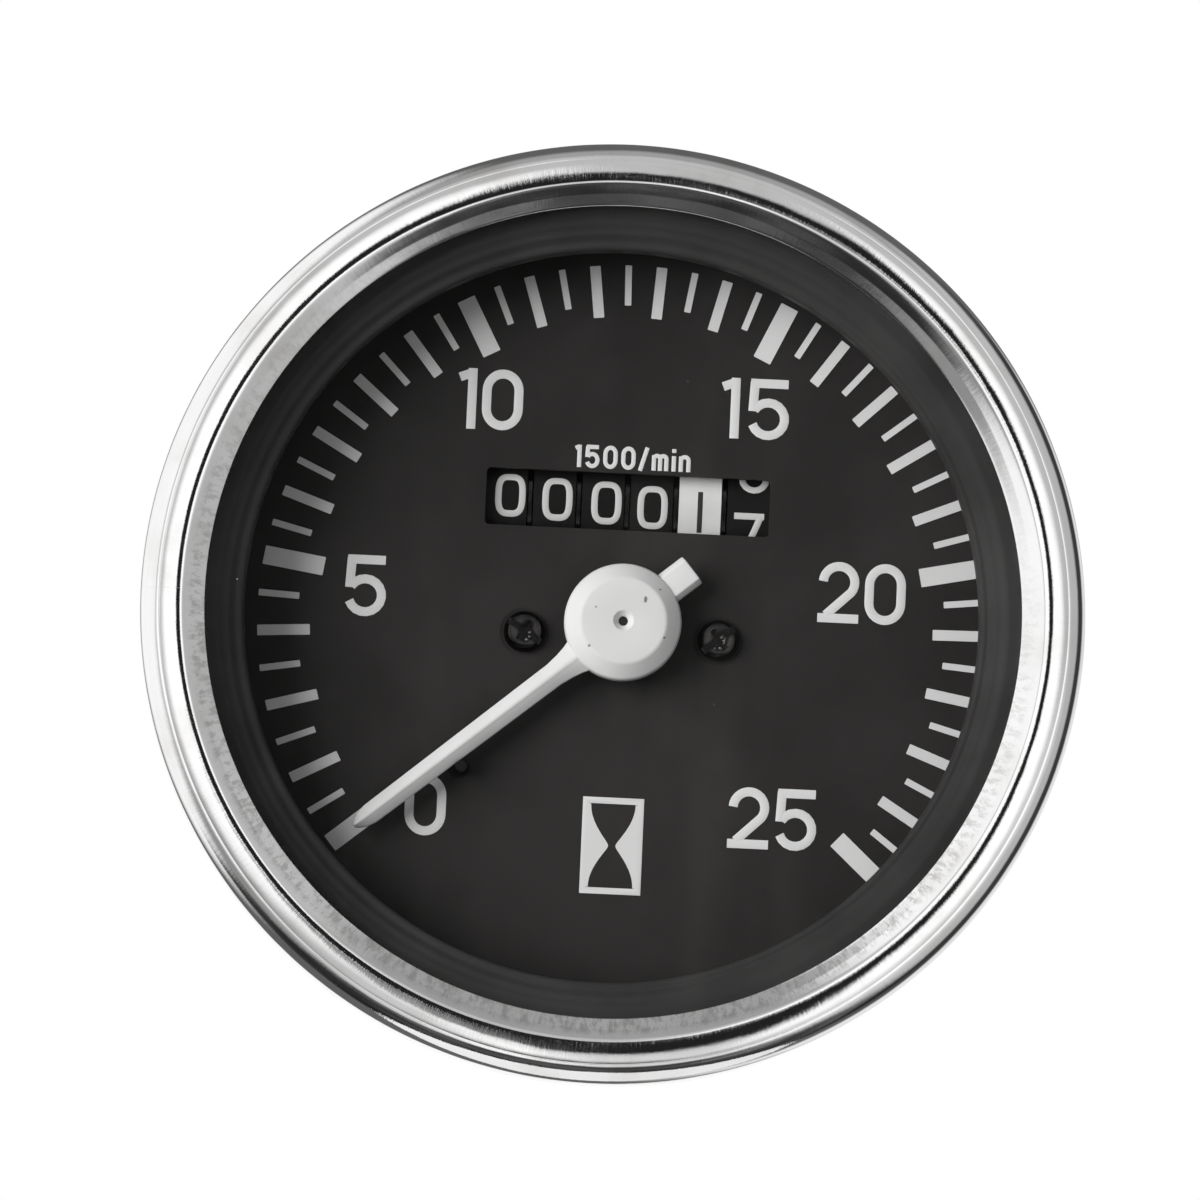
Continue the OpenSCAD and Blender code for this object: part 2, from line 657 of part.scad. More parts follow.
module regulator_arm() {
    pin_r = 0.6;
    pin_x = -hairspring_r - hairspring_t - pin_r;
    color([0.75, 0.75, 0.75]) {
        flat(strip_back, 0.4) difference() {
            union() {
                circle(r = 4.2);
                translate([pin_x, -1]) square([-pin_x, 2]);
                translate([pin_x, 0]) circle(r = 1.4);
            }
            circle(r = 2.6);
        }
        bar(pin_x, 0, pin_r, strip_back + 0.3, hairspring_front + hairspring_w + 0.2);
    }
}

// Drive
module drive_spindle() {
    m = module_of(cross_wheel_r, cross_teeth);
    collar_front = back_inner - spigot_flange_t - 0.4;
    color([0.68, 0.68, 0.7]) difference() {
        union() {
            turned() polygon([[0, magnet_front], [magnet_seat_r, magnet_front],
                [magnet_seat_r, magnet_back], [spindle_r, magnet_back],
                [spindle_r, collar_front], [journal_d / 2 + 1.2, collar_front],
                [journal_d / 2 + 1.2, collar_front + 0.8], [journal_d / 2, collar_front + 0.8],
                [journal_d / 2, spindle_back], [0, spindle_back]]);
            translate([0, cross_y, 0]) rotate([-90, 0, 0]) worm_thread(worm_r, m, worm_length, -90);
        }
        translate([0, spindle_back - socket_depth / 2 + 0.5, 0])
            cube([socket_w, socket_depth + 1, socket_w], center = true);
        bar(0, 0, staff_r - 0.15 + running, magnet_front - 1, magnet_front + 2.5);
    }
}

module magnet() color([0.3, 0.3, 0.32]) turned() polygon([[magnet_seat_r, magnet_front],
    [magnet_d / 2 - magnet_chamfer, magnet_front], [magnet_d / 2, magnet_front + magnet_chamfer],
    [magnet_d / 2, magnet_back], [magnet_seat_r, magnet_back]]);

module flux_cup() color([0.62, 0.62, 0.64]) turned() {
    translate([flux_inner_r, cup_front + 0.6]) square([flux_sheet, flux_back - cup_front - 0.6]);
    translate([spindle_hole_r, flux_back - flux_sheet]) square([flux_r - spindle_hole_r - 0.1, flux_sheet]);
}

module spindle_bush() color([0.72, 0.5, 0.28]) turned()
    translate([journal_d / 2 + running, back_inner - spigot_flange_t + 0.4])
        square([bush_wall - running, bush_back - back_inner + spigot_flange_t - 0.4]);

module drive_spigot() color([0.8, 0.68, 0.35]) turned() polygon([
    [bush_r, back_inner - spigot_flange_t], [spigot_flange_r, back_inner - spigot_flange_t],
    [spigot_flange_r, back_inner], [spigot_seat_r, back_inner], [spigot_seat_r, spigot_shoulder],
    [spigot_r, spigot_shoulder], [spigot_r, spigot_back - spigot_chamfer],
    [spigot_r - spigot_chamfer, spigot_back], [bush_r + spigot_chamfer, spigot_back],
    [bush_r, spigot_back - spigot_chamfer]]);

module spigot_nut() color([0.75, 0.75, 0.72]) flat(case_depth, nut_t) difference() {
    circle(d = nut_flats * 2 / sqrt(3), $fn = 6);
    circle(r = spigot_seat_r);
}

module worm_shaft_x(x, r, m, length) translate([x, cross_y, cross_shaft_z]) rotate([0, 90, 0])
    worm_thread(r, m, length, 180);

module cross_shaft() {
    m = module_of(lay_wheel_r, lay_teeth);
    color([0.7, 0.7, 0.72]) {
        cross_bar(cross_y, cross_shaft_z, cross_shaft_r, cross_bearings()[0] - 1, cross_bearings()[1] + 3);
        worm_shaft_x(lay_x, cross_worm_r, m, 2 * cross_worm_half);
        cross_bar(cross_y, cross_shaft_z, cross_worm_r - dedendum * m, lay_x - cross_worm_half - 0.5,
            lay_x + cross_worm_half + 0.5);
    }
}

// Each wheel has a tooth space on the line of centres, where its worm's crest stands
module cross_wheel() color([0.92, 0.9, 0.82]) difference() {
    translate([-wheel_w / 2, cross_y, cross_shaft_z]) rotate([0, 90, 0]) {
        linear_extrude(wheel_w) wheel_outline(cross_teeth, cross_wheel_r, 180 / cross_teeth);
        translate([0, 0, -1]) cylinder(r = cross_shaft_r + 1.2, h = wheel_w + 2);
    }
    cross_bar(cross_y, cross_shaft_z, cross_shaft_r, -5, 5);
}

module lay_shaft() {
    m = module_of(counter_wheel_r, counter_teeth);
    color([0.7, 0.7, 0.72]) {
        bar(lay_x, lay_z, lay_shaft_r, lay_lug_front - shaft_end, cross_y + wheel_w / 2 + shaft_end);
        bar(lay_x, lay_z, lay_worm_r - dedendum * m, counter_y - worm_length / 2 - 0.3,
            counter_y + worm_length / 2 + 0.3);
        translate([lay_x, counter_y, lay_z]) rotate([-90, 0, 0]) worm_thread(lay_worm_r, m, worm_length, 90);
    }
}

module lay_wheel() color([0.92, 0.9, 0.82]) difference() {
    translate([lay_x, cross_y - wheel_w / 2, lay_z]) rotate([-90, 0, 0]) {
        linear_extrude(wheel_w) wheel_outline(lay_teeth, lay_wheel_r, 90 + 180 / lay_teeth);
        translate([0, 0, -1]) cylinder(r = lay_shaft_r + 1.5, h = wheel_w + 1);
    }
    bar(lay_x, lay_z, lay_shaft_r, cross_y - 5, cross_y + 5);
}

// Counter
module counter_shaft() color([0.72, 0.72, 0.74])
    cross_bar(counter_y, counter_z, shaft_r, cheek_left - shaft_end, cheek_right + strip_t + shaft_end);

// Turns a solid drawn about +Z, so that its axis is X through the counter's axis, and its +X side faces back
module on_counter(x) translate([x, counter_y, counter_z]) rotate([0, 90, 0]) rotate(90) children();

module counter_wheel() color([0.92, 0.9, 0.82]) difference() {
    union() {
        on_counter(lay_x - wheel_w / 2) linear_extrude(wheel_w)
            wheel_outline(counter_teeth, counter_wheel_r, 90 + 180 / counter_teeth);
        on_counter(drum_x(drums) + drum_w / 2)
            cylinder(r = drum_hub_r, h = lay_x - drum_x(drums) - drum_w / 2);
    }
    cross_bar(counter_y, counter_z, shaft_r + running, 0, cheek_right);
}

// One drum: a rim with a full inner ring gear on its right and a locking ring with two teeth on its left
module drum(k) on_counter(drum_x(k) - drum_w / 2) difference() {
    pitch_w = PI * transfer_m;
    tip_r = transfer_m * (ring_teeth / 2 - addendum);
    root_r = transfer_m * (ring_teeth / 2 + dedendum);
    cylinder(r = drum_d / 2, h = drum_w);
    translate([0, 0, drum_w - ring_cavity]) linear_extrude(ring_cavity + 1) difference() {
        polygon(toothed(ring_teeth, tip_r, root_r, 0.66 * pitch_w, 0.45 * pitch_w));
        circle(r = drum_hub_r);
    }
    translate([0, 0, -1]) linear_extrude(lock_cavity + 1) difference() {
        circle(r = lock_r);
        circle(r = drum_hub_r);
    }
    translate([0, 0, -1]) linear_extrude(lock_cavity + 1) rotate(transfer_angle)
        polygon([[lock_r - 1, -0.33 * pitch_w], [root_r, -0.22 * pitch_w], [root_r, 0.22 * pitch_w],
            [lock_r - 1, 0.33 * pitch_w]]);
    translate([0, 0, -1]) cylinder(r = shaft_r + running, h = drum_w + 2);
}

// A pinion with six teeth that run in the left drum's ring, and three that reach the right drum
module transfer_pinion(k) {
    pitch_w = PI * transfer_m;
    root_r = transfer_m * (pinion_teeth / 2 - dedendum);
    gap = drum_pitch - drum_w;
    inner = ring_cavity - 0.3;
    outer = lock_cavity - 0.3;
    color([0.85, 0.85, 0.8]) on_counter(drum_x(k) + drum_w / 2) translate([pinion_offset, 0, 0]) {
        translate([0, 0, -inner]) linear_extrude(inner)
            polygon(toothed(pinion_teeth, root_r, pinion_tip_r, 0.5 * pitch_w, 0.26 * pitch_w));
        cylinder(r = pinion_neck_r, h = gap);
        translate([0, 0, gap]) linear_extrude(outer)
            polygon(toothed(pinion_teeth / 2, root_r, pinion_tip_r, 0.5 * pitch_w, 0.26 * pitch_w, 60));
    }
}

module transfer_plates() color([0.72, 0.72, 0.7]) for (k = [1:drums - 1])
    on_counter(carrier_x(k)) linear_extrude(carrier_t) difference() {
        union() {
            circle(r = drum_d / 2 - 0.5);
            translate([0, -tab_w / 2]) square([strip_back - counter_y, tab_w]);
        }
        circle(r = shaft_r);
        translate([pinion_offset, 0]) circle(r = pinion_neck_r + running);
    }

// Fasteners and clamp bow
module movement_screws() color([0.72, 0.72, 0.7]) for (p = pillar_places) turned(p[0], p[1]) {
    translate([0, rear_plate_back + 4]) square([screw_r, case_depth - rear_plate_back - 3]);
    translate([0, case_depth]) square([screw_head_r, screw_head_t]);
}

module clamp_bow() {
    end = bow_leg_x + bow_t;
    color([0.68, 0.69, 0.66]) {
        flat(bow_front, bow_t) difference() {
            union() {
                square([2 * end, bow_w], center = true);
                translate([movement_x, 0]) circle(r = bow_hole_r + bow_rim);
            }
            translate([movement_x, 0]) circle(r = bow_hole_r);
            for (side = [-1, 1]) translate([side * stud_x, 0]) circle(r = stud_r + 0.3);
        }
        for (x = [-end, bow_leg_x]) translate([x, panel_t, -bow_w / 2])
            cube([bow_t, bow_back - panel_t, bow_w]);
    }
}

module mounting_studs() color([0.74, 0.74, 0.72]) for (side = [-1, 1]) turned(side * stud_x, 0) polygon([
    [0, back_inner - stud_head_t], [stud_r + 1.5, back_inner - stud_head_t], [stud_r + 1.5, back_inner],
    [stud_r, back_inner], [stud_r, case_depth + stud_len - stud_chamfer],
    [stud_r - stud_chamfer, case_depth + stud_len], [0, case_depth + stud_len]]);

module stud_washers() color([0.78, 0.78, 0.76]) for (side = [-1, 1]) turned(side * stud_x, 0)
    translate([stud_r + 0.1, bow_back]) square([knurl_r - stud_r - 0.6, washer_t]);

module stud_nuts() color([0.8, 0.68, 0.35]) for (side = [-1, 1]) translate([side * stud_x, 0, 0]) {
    flat(bow_back + washer_t, stud_nut_t) difference() {
        polygon(toothed(30, knurl_r - 0.3, knurl_r, 0.75, 0.35));
        circle(r = stud_r);
    }
}

// Lamp
module lamp_holder() color([0.76, 0.76, 0.74]) turned(0, -lamp_down) difference() {
    union() {
        translate([0, case_depth - lamp_in]) square([lamp_r, lamp_in + 0.2]);
        translate([0, case_depth]) square([lamp_r + lamp_rim_w, lamp_rim_t]);
        translate([0, case_depth]) square([lamp_r - 1, lamp_out]);
    }
    translate([0, case_depth - lamp_in - 1]) square([bulb_cap_d / 2, lamp_in + 2]);
    translate([0, case_depth]) square([lamp_bore_r, lamp_out + 1]);
    translate([0, insulator_front]) square([insulator_r, lamp_out]);
}

module lamp_bulb() {
    cap_r = bulb_cap_d / 2;
    cap_front = bulb_cap_back - bulb_cap_len;
    bulb_r = cap_r - 0.2;
    tip = cap_front - bulb_len;
    color([0.9, 0.88, 0.75]) turned(0, -lamp_down) {
        polygon(concat([[0, tip]], arc(0, tip + bulb_r, bulb_r, -90, 0),
            [[bulb_r, cap_front - 3], [bulb_r - 0.8, cap_front + 0.1], [0, cap_front + 0.1]]));
        translate([0, cap_front]) square([cap_r - running, bulb_cap_len]);
        translate([0, bulb_cap_back - 0.1]) square([contact_r + 0.2, contact_front - bulb_cap_back]);
    }
}

module lamp_insulator() color([0.35, 0.22, 0.14]) turned(0, -lamp_down)
    translate([contact_r, insulator_front]) square([insulator_r - contact_r, insulator_t]);

module lamp_contact() color([0.8, 0.7, 0.4]) {
    bar(0, -lamp_down, contact_r, contact_front, contact_back);
    translate([-blade_terminal[0] / 2, insulator_front + insulator_t, -lamp_down - blade_terminal[2] / 2])
        cube(blade_terminal);
}

bezel_ring();
glass();
glass_gasket();
inner_ring();
case();
panel_gasket();
on_movement() dial();
on_movement() scale_print();
on_movement() dial_screws();
on_movement() stop_pin();
on_movement() dial_bridge();
on_movement() pillars();
on_movement() rear_plate();
on_movement() counter_frame();
on_movement() staff_bush();
on_movement() pointer();
on_movement() pointer_staff();
on_movement() drag_cup();
on_movement() hairspring_collet();
on_movement() hairspring();
on_movement() regulator_arm();
on_movement() drive_spindle();
on_movement() magnet();
on_movement() flux_cup();
on_movement() spindle_bush();
on_movement() drive_spigot();
on_movement() spigot_nut();
on_movement() cross_shaft();
on_movement() cross_wheel();
on_movement() lay_shaft();
on_movement() lay_wheel();
on_movement() counter_shaft();
on_movement() counter_wheel();
for (k = [1:drums])
    on_movement() color(k == 5 ? [0.9, 0.9, 0.88] : [0.1, 0.1, 0.1]) drum(k);
for (k = [1:drums - 1])
    on_movement() transfer_pinion(k);
on_movement() transfer_plates();
on_movement() movement_screws();
clamp_bow();
mounting_studs();
stud_washers();
stud_nuts();
lamp_holder();
lamp_bulb();
lamp_insulator();
lamp_contact();
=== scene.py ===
import json
import math

import bmesh
import bpy
from mathutils import Matrix, Vector


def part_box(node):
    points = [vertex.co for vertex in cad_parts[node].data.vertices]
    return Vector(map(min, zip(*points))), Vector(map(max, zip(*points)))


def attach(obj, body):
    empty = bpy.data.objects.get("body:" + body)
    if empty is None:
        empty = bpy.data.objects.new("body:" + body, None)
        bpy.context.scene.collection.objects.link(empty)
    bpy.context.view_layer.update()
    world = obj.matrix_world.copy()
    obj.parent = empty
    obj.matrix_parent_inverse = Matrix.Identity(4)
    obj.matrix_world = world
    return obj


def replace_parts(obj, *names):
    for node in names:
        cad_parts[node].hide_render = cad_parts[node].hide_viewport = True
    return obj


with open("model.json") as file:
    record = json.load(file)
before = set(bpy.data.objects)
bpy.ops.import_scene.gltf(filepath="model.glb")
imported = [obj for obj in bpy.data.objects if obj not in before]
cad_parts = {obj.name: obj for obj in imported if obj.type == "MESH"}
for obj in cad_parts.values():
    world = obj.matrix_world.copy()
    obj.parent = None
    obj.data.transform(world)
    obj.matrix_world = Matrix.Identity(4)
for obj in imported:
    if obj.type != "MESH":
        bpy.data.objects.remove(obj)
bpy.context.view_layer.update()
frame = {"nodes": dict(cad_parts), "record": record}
nodes = frame["nodes"]

# Sizes, in millimetres. The dial and its movement sit a little to the right of the case's axis.
MM = 0.001
low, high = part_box("dial")
DIAL_X = (low.x + high.x) / 2 / MM
DIAL_FACE = low.y / MM
DIAL_BACK = high.y / MM
DIAL_R = (high.x - low.x) / 2 / MM
FULL_TURN = 2 * math.pi

# Places on the dial, from its centre: the screws on either side, the stop pin and the counter
SCREWS_X, SCREWS_Z = 11.45, -1.3
PIN_X, PIN_Z = -18.45, -17.6
COUNTER_X, COUNTER_Z = 0.1, 14.7
WINDOW_W, WINDOW_H = 33.6, 6.8
DRUM_R = 12.0
DRUM_PITCH = 5.75
FIRST_DRUM_X = COUNTER_X - 2.5 * DRUM_PITCH
COUNTER_Y = (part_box("drum_1")[0].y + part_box("drum_1")[1].y) / 2 / MM

# The pointer rests at this angle, counted from +X towards +Z
REST_ANGLE = 219.9
HUB_FRONT, HUB_BACK = (corner.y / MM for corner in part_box("pointer"))


# Finishes

class Wire:
    """A socket that a finish reads. Python's operators on it add Math nodes."""

    def __init__(self, finish, socket):
        self.finish = finish
        self.socket = socket

    def maths(self, operation, *values):
        return self.finish.add("Math", {"operation": operation}, values)

    def __add__(self, other):
        return self.maths("ADD", self, other)

    def __sub__(self, other):
        return self.maths("SUBTRACT", self, other)

    def __rsub__(self, other):
        return self.maths("SUBTRACT", other, self)

    def __mul__(self, other):
        return self.maths("MULTIPLY", self, other)

    def __pow__(self, other):
        return self.maths("POWER", self, other)

    def __neg__(self):
        return self.maths("MULTIPLY", self, -1.0)

    def __abs__(self):
        return self.maths("ABSOLUTE", self)

    def larger(self, other):
        return self.maths("MAXIMUM", self, other)

    def smaller(self, other):
        return self.maths("MINIMUM", self, other)

    def rise(self, start, end):
        """0 up to start, 1 from end on, and a smooth step between."""
        return self.finish.add("MapRange", {"interpolation_type": "SMOOTHSTEP"},
                               {"Value": self, "From Min": start, "From Max": end})

    __radd__ = __add__
    __rmul__ = __mul__


class Finish:
    """A tree of shader nodes, of a material or of the world."""

    def __init__(self, name, owner=None):
        self.owner = owner or bpy.data.materials.new(name)
        self.owner.use_nodes = True
        self.tree = self.owner.node_tree
        self.tree.nodes.clear()

    def add(self, kind, settings=None, values=(), output=0):
        """Adds a node: its settings first, then what its sockets hold or are linked to."""
        node = self.tree.nodes.new("ShaderNode" + kind)
        for key, setting in (settings or {}).items():
            setattr(node, key, setting)
        pairs = values.items() if isinstance(values, dict) else enumerate(values)
        for key, value in pairs:
            socket = node.inputs[key]
            if isinstance(value, Wire):
                self.tree.links.new(value.socket, socket)
            elif socket.type == "RGBA":
                socket.default_value = (*value, 1)
            else:
                socket.default_value = value
        return Wire(self, node.outputs[output])

    def place(self, scale=(1, 1, 1), centre=(0, 0, 0), turn=(0, 0, 0)):
        """Where a point is on the piece, in millimetres."""
        here = self.add("TexCoord", output=3)
        from_centre = self.add("VectorMath", {"operation": "ADD"}, [here, tuple(-c * MM for c in centre)])
        per_mm = tuple(s / MM for s in scale)
        return self.add("Mapping", {}, {"Vector": from_centre, "Rotation": turn, "Scale": per_mm})

    def parts(self, vector):
        """The three parts of a vector or a colour."""
        split = self.tree.nodes.new("ShaderNodeSeparateXYZ")
        self.tree.links.new(vector.socket, split.inputs[0])
        return [Wire(self, out) for out in split.outputs]

    def grain(self, vector, size, detail=4.0, rough=0.5, bend=0.0):
        """Soft noise from 0 to 1 whose blotches are about size millimetres across."""
        return self.add("TexNoise", {}, {"Vector": vector, "Scale": 1 / size, "Detail": detail,
                                         "Roughness": rough, "Distortion": bend})

    def lathe_cuts(self, per_mm):
        """Fine rings across the Y axis, from 0 to 1, so many to a millimetre."""
        y = self.parts(self.place())[1]
        return self.add("TexNoise", {"noise_dimensions": "1D"}, {"W": y, "Scale": per_mm, "Detail": 2.0})

    def specks(self, vector, spacing, size):
        """1 inside small round specks of a radius of size, about spacing millimetres apart."""
        cells = self.add("TexVoronoi", {}, {"Vector": vector, "Scale": 1 / spacing})
        return 1 - cells.rise(size / spacing * 0.6, size / spacing)

    def blend(self, share, first, second):
        """The first colour, with the second in it by a share from 0 to 1."""
        return self.add("Mix", {"data_type": "RGBA"}, {0: share, 6: first, 7: second}, output=2)

    def bump(self, height, distance):
        """The surface normal under a relief of height times distance millimetres."""
        return self.add("Bump", {}, {"Distance": distance * MM, "Height": height})

    def surface(self, **values):
        """Ends the material in one Principled surface."""
        named = {key.replace("_", " ").title().replace("Ior", "IOR"): value for key, value in values.items()}
        return self.end(self.add("BsdfPrincipled", {}, named))

    def end(self, shader, kind="Material"):
        """Links the last shader to the output, and gives back the material or the world."""
        out = self.tree.nodes.new("ShaderNodeOutput" + kind)
        self.tree.links.new(shader.socket, out.inputs[0])
        return self.owner


def times(colour, factor):
    return tuple(min(factor * c, 1) for c in colour)


def chrome_plate():
    """Bright plating, its polish a little wavy: fine marks across the ring, a dull film in places, and a
    combed, scuffed band low on the inner slope."""
    f = Finish("chrome_plate")
    spot = f.place()
    x, y, z = f.parts(spot)
    round_way = f.add("Math", {"operation": "ARCTAN2"}, [z, x]) * 52
    out_way = (x ** 2 + z ** 2) ** 0.5
    across = f.add("CombineXYZ", {}, [round_way, out_way * 0.12, y * 0.12])
    marks = f.grain(across, 0.35, 4, 0.7)
    waves = f.grain(f.add("CombineXYZ", {}, [round_way, out_way * 2.5, y * 2.5]), 9, 2)
    film = f.grain(spot, 9, 5, 0.6).rise(0.45, 0.75)
    pores = f.grain(spot, 0.45, 4, 0.75)
    combed = f.grain(f.add("CombineXYZ", {}, [round_way, out_way * 0.5, y * 0.5]), 0.9, 5, 0.75)
    scuffs = combed.rise(0.44, 0.62) * (1 - out_way.rise(48.6, 49.8)) * (-z - x * 0.4).rise(-45, 25)
    plate = f.blend(film, (0.90, 0.90, 0.90), (0.80, 0.79, 0.78))
    return f.surface(base_color=f.blend(scuffs * 0.6, plate, (0.42, 0.41, 0.40)), metallic=1.0,
                     roughness=0.045 + film * 0.05 + pores.rise(0.5, 0.75) * 0.06 + scuffs * 0.1,
                     normal=f.bump(marks * 0.22 + pores * 0.14 + waves * 1.6, 0.03))


def satin_black(name, tone, relief):
    """Baked enamel: nearly black, faintly mottled, with a little dust."""
    f = Finish(name)
    spot = f.place()
    cloud = f.grain(spot, 14, 3)
    fine = f.grain(spot, 0.9, 3, 0.6)
    dust = f.specks(spot, 5.5, 0.09) * f.grain(spot, 20).rise(0.45, 0.65)
    enamel = f.blend(cloud.rise(0.3, 0.7), times(tone, 0.8), times(tone, 1.3))
    return f.surface(base_color=f.blend(dust * 0.5, enamel, (0.25, 0.24, 0.22)), specular_ior_level=0.2,
                     roughness=0.42 + fine * 0.16 + dust * 0.2, normal=f.bump(fine, relief))


def dial_enamel():
    """The dial's charcoal enamel, pressed into shallow dimples round its screws and its stop pin. Round the
    stop pin the enamel is also darkened towards black: painted shade.
    """
    f = Finish("dial_enamel")
    spot = f.place(centre=(DIAL_X, 0, 0))
    x, _, z = f.parts(spot)
    cloud = f.grain(spot, 17, 4, 0.55)
    fine = f.grain(spot, 0.5, 3, 0.65)
    dust = f.specks(spot, 3.4, 0.07) * f.grain(spot, 12).rise(0.45, 0.6)

    def away(px, pz):
        return ((x - px) ** 2 + (z - pz) ** 2) ** 0.5

    dish = away(-SCREWS_X, SCREWS_Z).smaller(away(SCREWS_X, SCREWS_Z)).rise(2.45, 3.0)
    pin_dimple_and_painted_shade = away(PIN_X, PIN_Z).rise(0.8, 1.5)
    shade = f.blend(cloud.rise(0.3, 0.7), (0.0245, 0.0232, 0.0226), (0.0335, 0.0315, 0.0308))
    # Painted shade: in the dimple round the stop pin the enamel goes halfway to black, most at its middle
    shade = f.blend((1 - pin_dimple_and_painted_shade) * 0.5, shade, (0.003, 0.003, 0.003))
    return f.surface(base_color=f.blend(dust * 0.4, shade, (0.22, 0.21, 0.19)),
                     roughness=0.45 + fine * 0.2, specular_ior_level=0.1,
                     normal=f.bump(dish * 0.3 + pin_dimple_and_painted_shade * 0.5 + fine * 0.002, 0.45))


def printed_ink(name, tone):
    """Matt ink, a little dirty, and worn thin in pin holes."""
    f = Finish(name)
    spot = f.place()
    thin = f.grain(spot, 1.6, 4, 0.7)
    dirt = f.grain(spot, 11, 3).rise(0.35, 0.75)
    ink = f.blend(dirt * 0.2, tone, times(tone, 0.78))
    gaps = thin.rise(0.70, 0.82) * 0.35
    return f.surface(base_color=f.blend(gaps, ink, (0.10, 0.10, 0.10)), roughness=0.5 + thin * 0.2,
                     normal=f.bump(thin, 0.01))


def pointer_enamel():
    """White enamel, with the chips and the scratches that the hub has taken."""
    f = Finish("pointer_enamel")
    spot = f.place(centre=(DIAL_X, 0, 0))
    x, _, z = f.parts(spot)
    ragged = f.grain(spot, 0.22, 3, 0.7) * 0.3

    def chip(px, pz, size, tall=1.0):
        """Bare metal about (px, pz). A tall below 1 draws the chip out along Z, and above 1 along X."""
        return 1 - (((x - px) ** 2 + ((z - pz) * tall) ** 2) ** 0.5 + ragged - 0.15).rise(size * 0.8, size)

    chips = chip(2.5, 2.6, 0.20, 0.5)
    for knock in ((-3.3, 1.45, 0.10), (-3.9, -3.15, 0.16), (4.85, -1.8, 0.15), (-1.5, -2.1, 0.05, 2.0),
                  (4.2, 3.9, 0.16, 2.0)):
        chips = chips.larger(chip(*knock))
    tired = f.grain(spot, 4.5, 4).rise(0.4, 0.75)
    paint = f.blend(tired * 0.4, (0.74, 0.74, 0.735), (0.66, 0.655, 0.65))
    return f.surface(base_color=f.blend(chips * 0.85, paint, (0.13, 0.12, 0.11)),
                     roughness=0.38 + tired * 0.12 + chips * 0.2,
                     normal=f.bump(f.grain(spot, 0.8, 3) * 0.3 - chips, 0.03))


def blackened_steel():
    """Black oxide on steel, rubbed bright in spots where a screwdriver has slipped."""
    f = Finish("blackened_steel")
    spot = f.place(centre=(DIAL_X, 0, SCREWS_Z))
    x, _, z = f.parts(spot)
    rub = f.grain(spot, 1.1, 4, 0.7)
    from_recess = ((abs(x) - SCREWS_X) ** 2 + (z + 0.3) ** 2) ** 0.5
    near_recess = (1 - from_recess.rise(0.8, 1.1)) * from_recess.rise(0.35, 0.5)
    bare = f.grain(spot, 0.6, 2, 0.6).rise(0.60, 0.64) * near_recess
    oxide = f.blend(rub.rise(0.5, 0.75), (0.050, 0.048, 0.047), (0.085, 0.082, 0.080))
    return f.surface(base_color=f.blend(bare, oxide, (0.62, 0.60, 0.58)), metallic=1.0,
                     roughness=0.16 + rub * 0.12 + bare * 0.1, normal=f.bump(rub, 0.003))


def moulded_plastic(name, tone, gloss=0.4, relief=0.01, mirror=0.5):
    f = Finish(name)
    spot = f.place()
    cloud = f.grain(spot, 6, 3)
    fine = f.grain(spot, 0.4, 3, 0.6)
    return f.surface(base_color=f.blend(cloud.rise(0.3, 0.7), times(tone, 0.88), times(tone, 1.08)),
                     roughness=gloss + fine * 0.15, specular_ior_level=mirror, normal=f.bump(fine, relief))


def turned_metal(name, tone, gloss=0.24):
    """Bright metal with the fine rings that a lathe leaves, and a little tarnish."""
    f = Finish(name)
    cuts = f.lathe_cuts(1 / 0.12)
    tarnish = f.grain(f.place(), 5, 5, 0.65).rise(0.42, 0.75)
    return f.surface(base_color=f.blend(tarnish * 0.55, tone, times(tone, 0.55)), metallic=1.0,
                     roughness=gloss + cuts * 0.12 + tarnish * 0.18, normal=f.bump(cuts, 0.012))


def staff_steel():
    """The staff's ground steel. Its front end, at the bottom of the hub's bore, is coloured near black and is
    not metal there: painted shade.
    """
    f = Finish("staff_steel")
    cuts = f.lathe_cuts(9.0)
    bore_painted_shade = 1 - f.parts(f.place())[1].rise(HUB_FRONT + 1.0, HUB_FRONT + 1.3)
    # Painted shade: inside the hub's bore the staff's end turns near black, faintly brown, rough and not
    # metallic
    return f.surface(base_color=f.blend(bore_painted_shade, (0.60, 0.60, 0.61), (0.012, 0.009, 0.007)), metallic=1 - bore_painted_shade,
                     roughness=0.24 + cuts * 0.12 + bore_painted_shade * 0.3, normal=f.bump(cuts, 0.012))


def zinc_plate():
    """Dulled zinc on pressed steel, with faint spangles and a few rust-brown pin spots."""
    f = Finish("zinc_plate")
    spot = f.place()
    spangle = f.add("TexVoronoi", {}, {"Vector": spot, "Scale": 0.35}, output=1)
    tint = f.parts(spangle)[0]
    haze = f.grain(spot, 8, 5, 0.6)
    rust = f.specks(spot, 6.0, 0.3) * f.grain(spot, 9).rise(0.55, 0.7)
    plate = f.blend(tint * 0.35 + haze * 0.35, (0.56, 0.56, 0.54), (0.43, 0.43, 0.41))
    return f.surface(base_color=f.blend(rust * 0.8, plate, (0.15, 0.075, 0.035)), metallic=0.9,
                     roughness=0.34 + haze * 0.2 + rust * 0.3, normal=f.bump(haze, 0.02))


def die_casting():
    f = Finish("die_casting")
    spot = f.place()
    skin = f.grain(spot, 0.7, 4, 0.7)
    flow = f.grain(spot, 12, 4, 0.6, 1.5)
    return f.surface(base_color=f.blend(flow, (0.34, 0.34, 0.34), (0.48, 0.48, 0.47)), metallic=0.85,
                     roughness=0.45 + skin * 0.2, normal=f.bump(skin, 0.05))


def rubber():
    f = Finish("rubber")
    spot = f.place()
    bloom = f.grain(spot, 5, 5, 0.6)
    fine = f.grain(spot, 0.3, 3, 0.6)
    return f.surface(base_color=f.blend(bloom.rise(0.4, 0.8), (0.018, 0.018, 0.018), (0.06, 0.058, 0.055)),
                     roughness=0.7 + fine * 0.15, normal=f.bump(fine, 0.03))


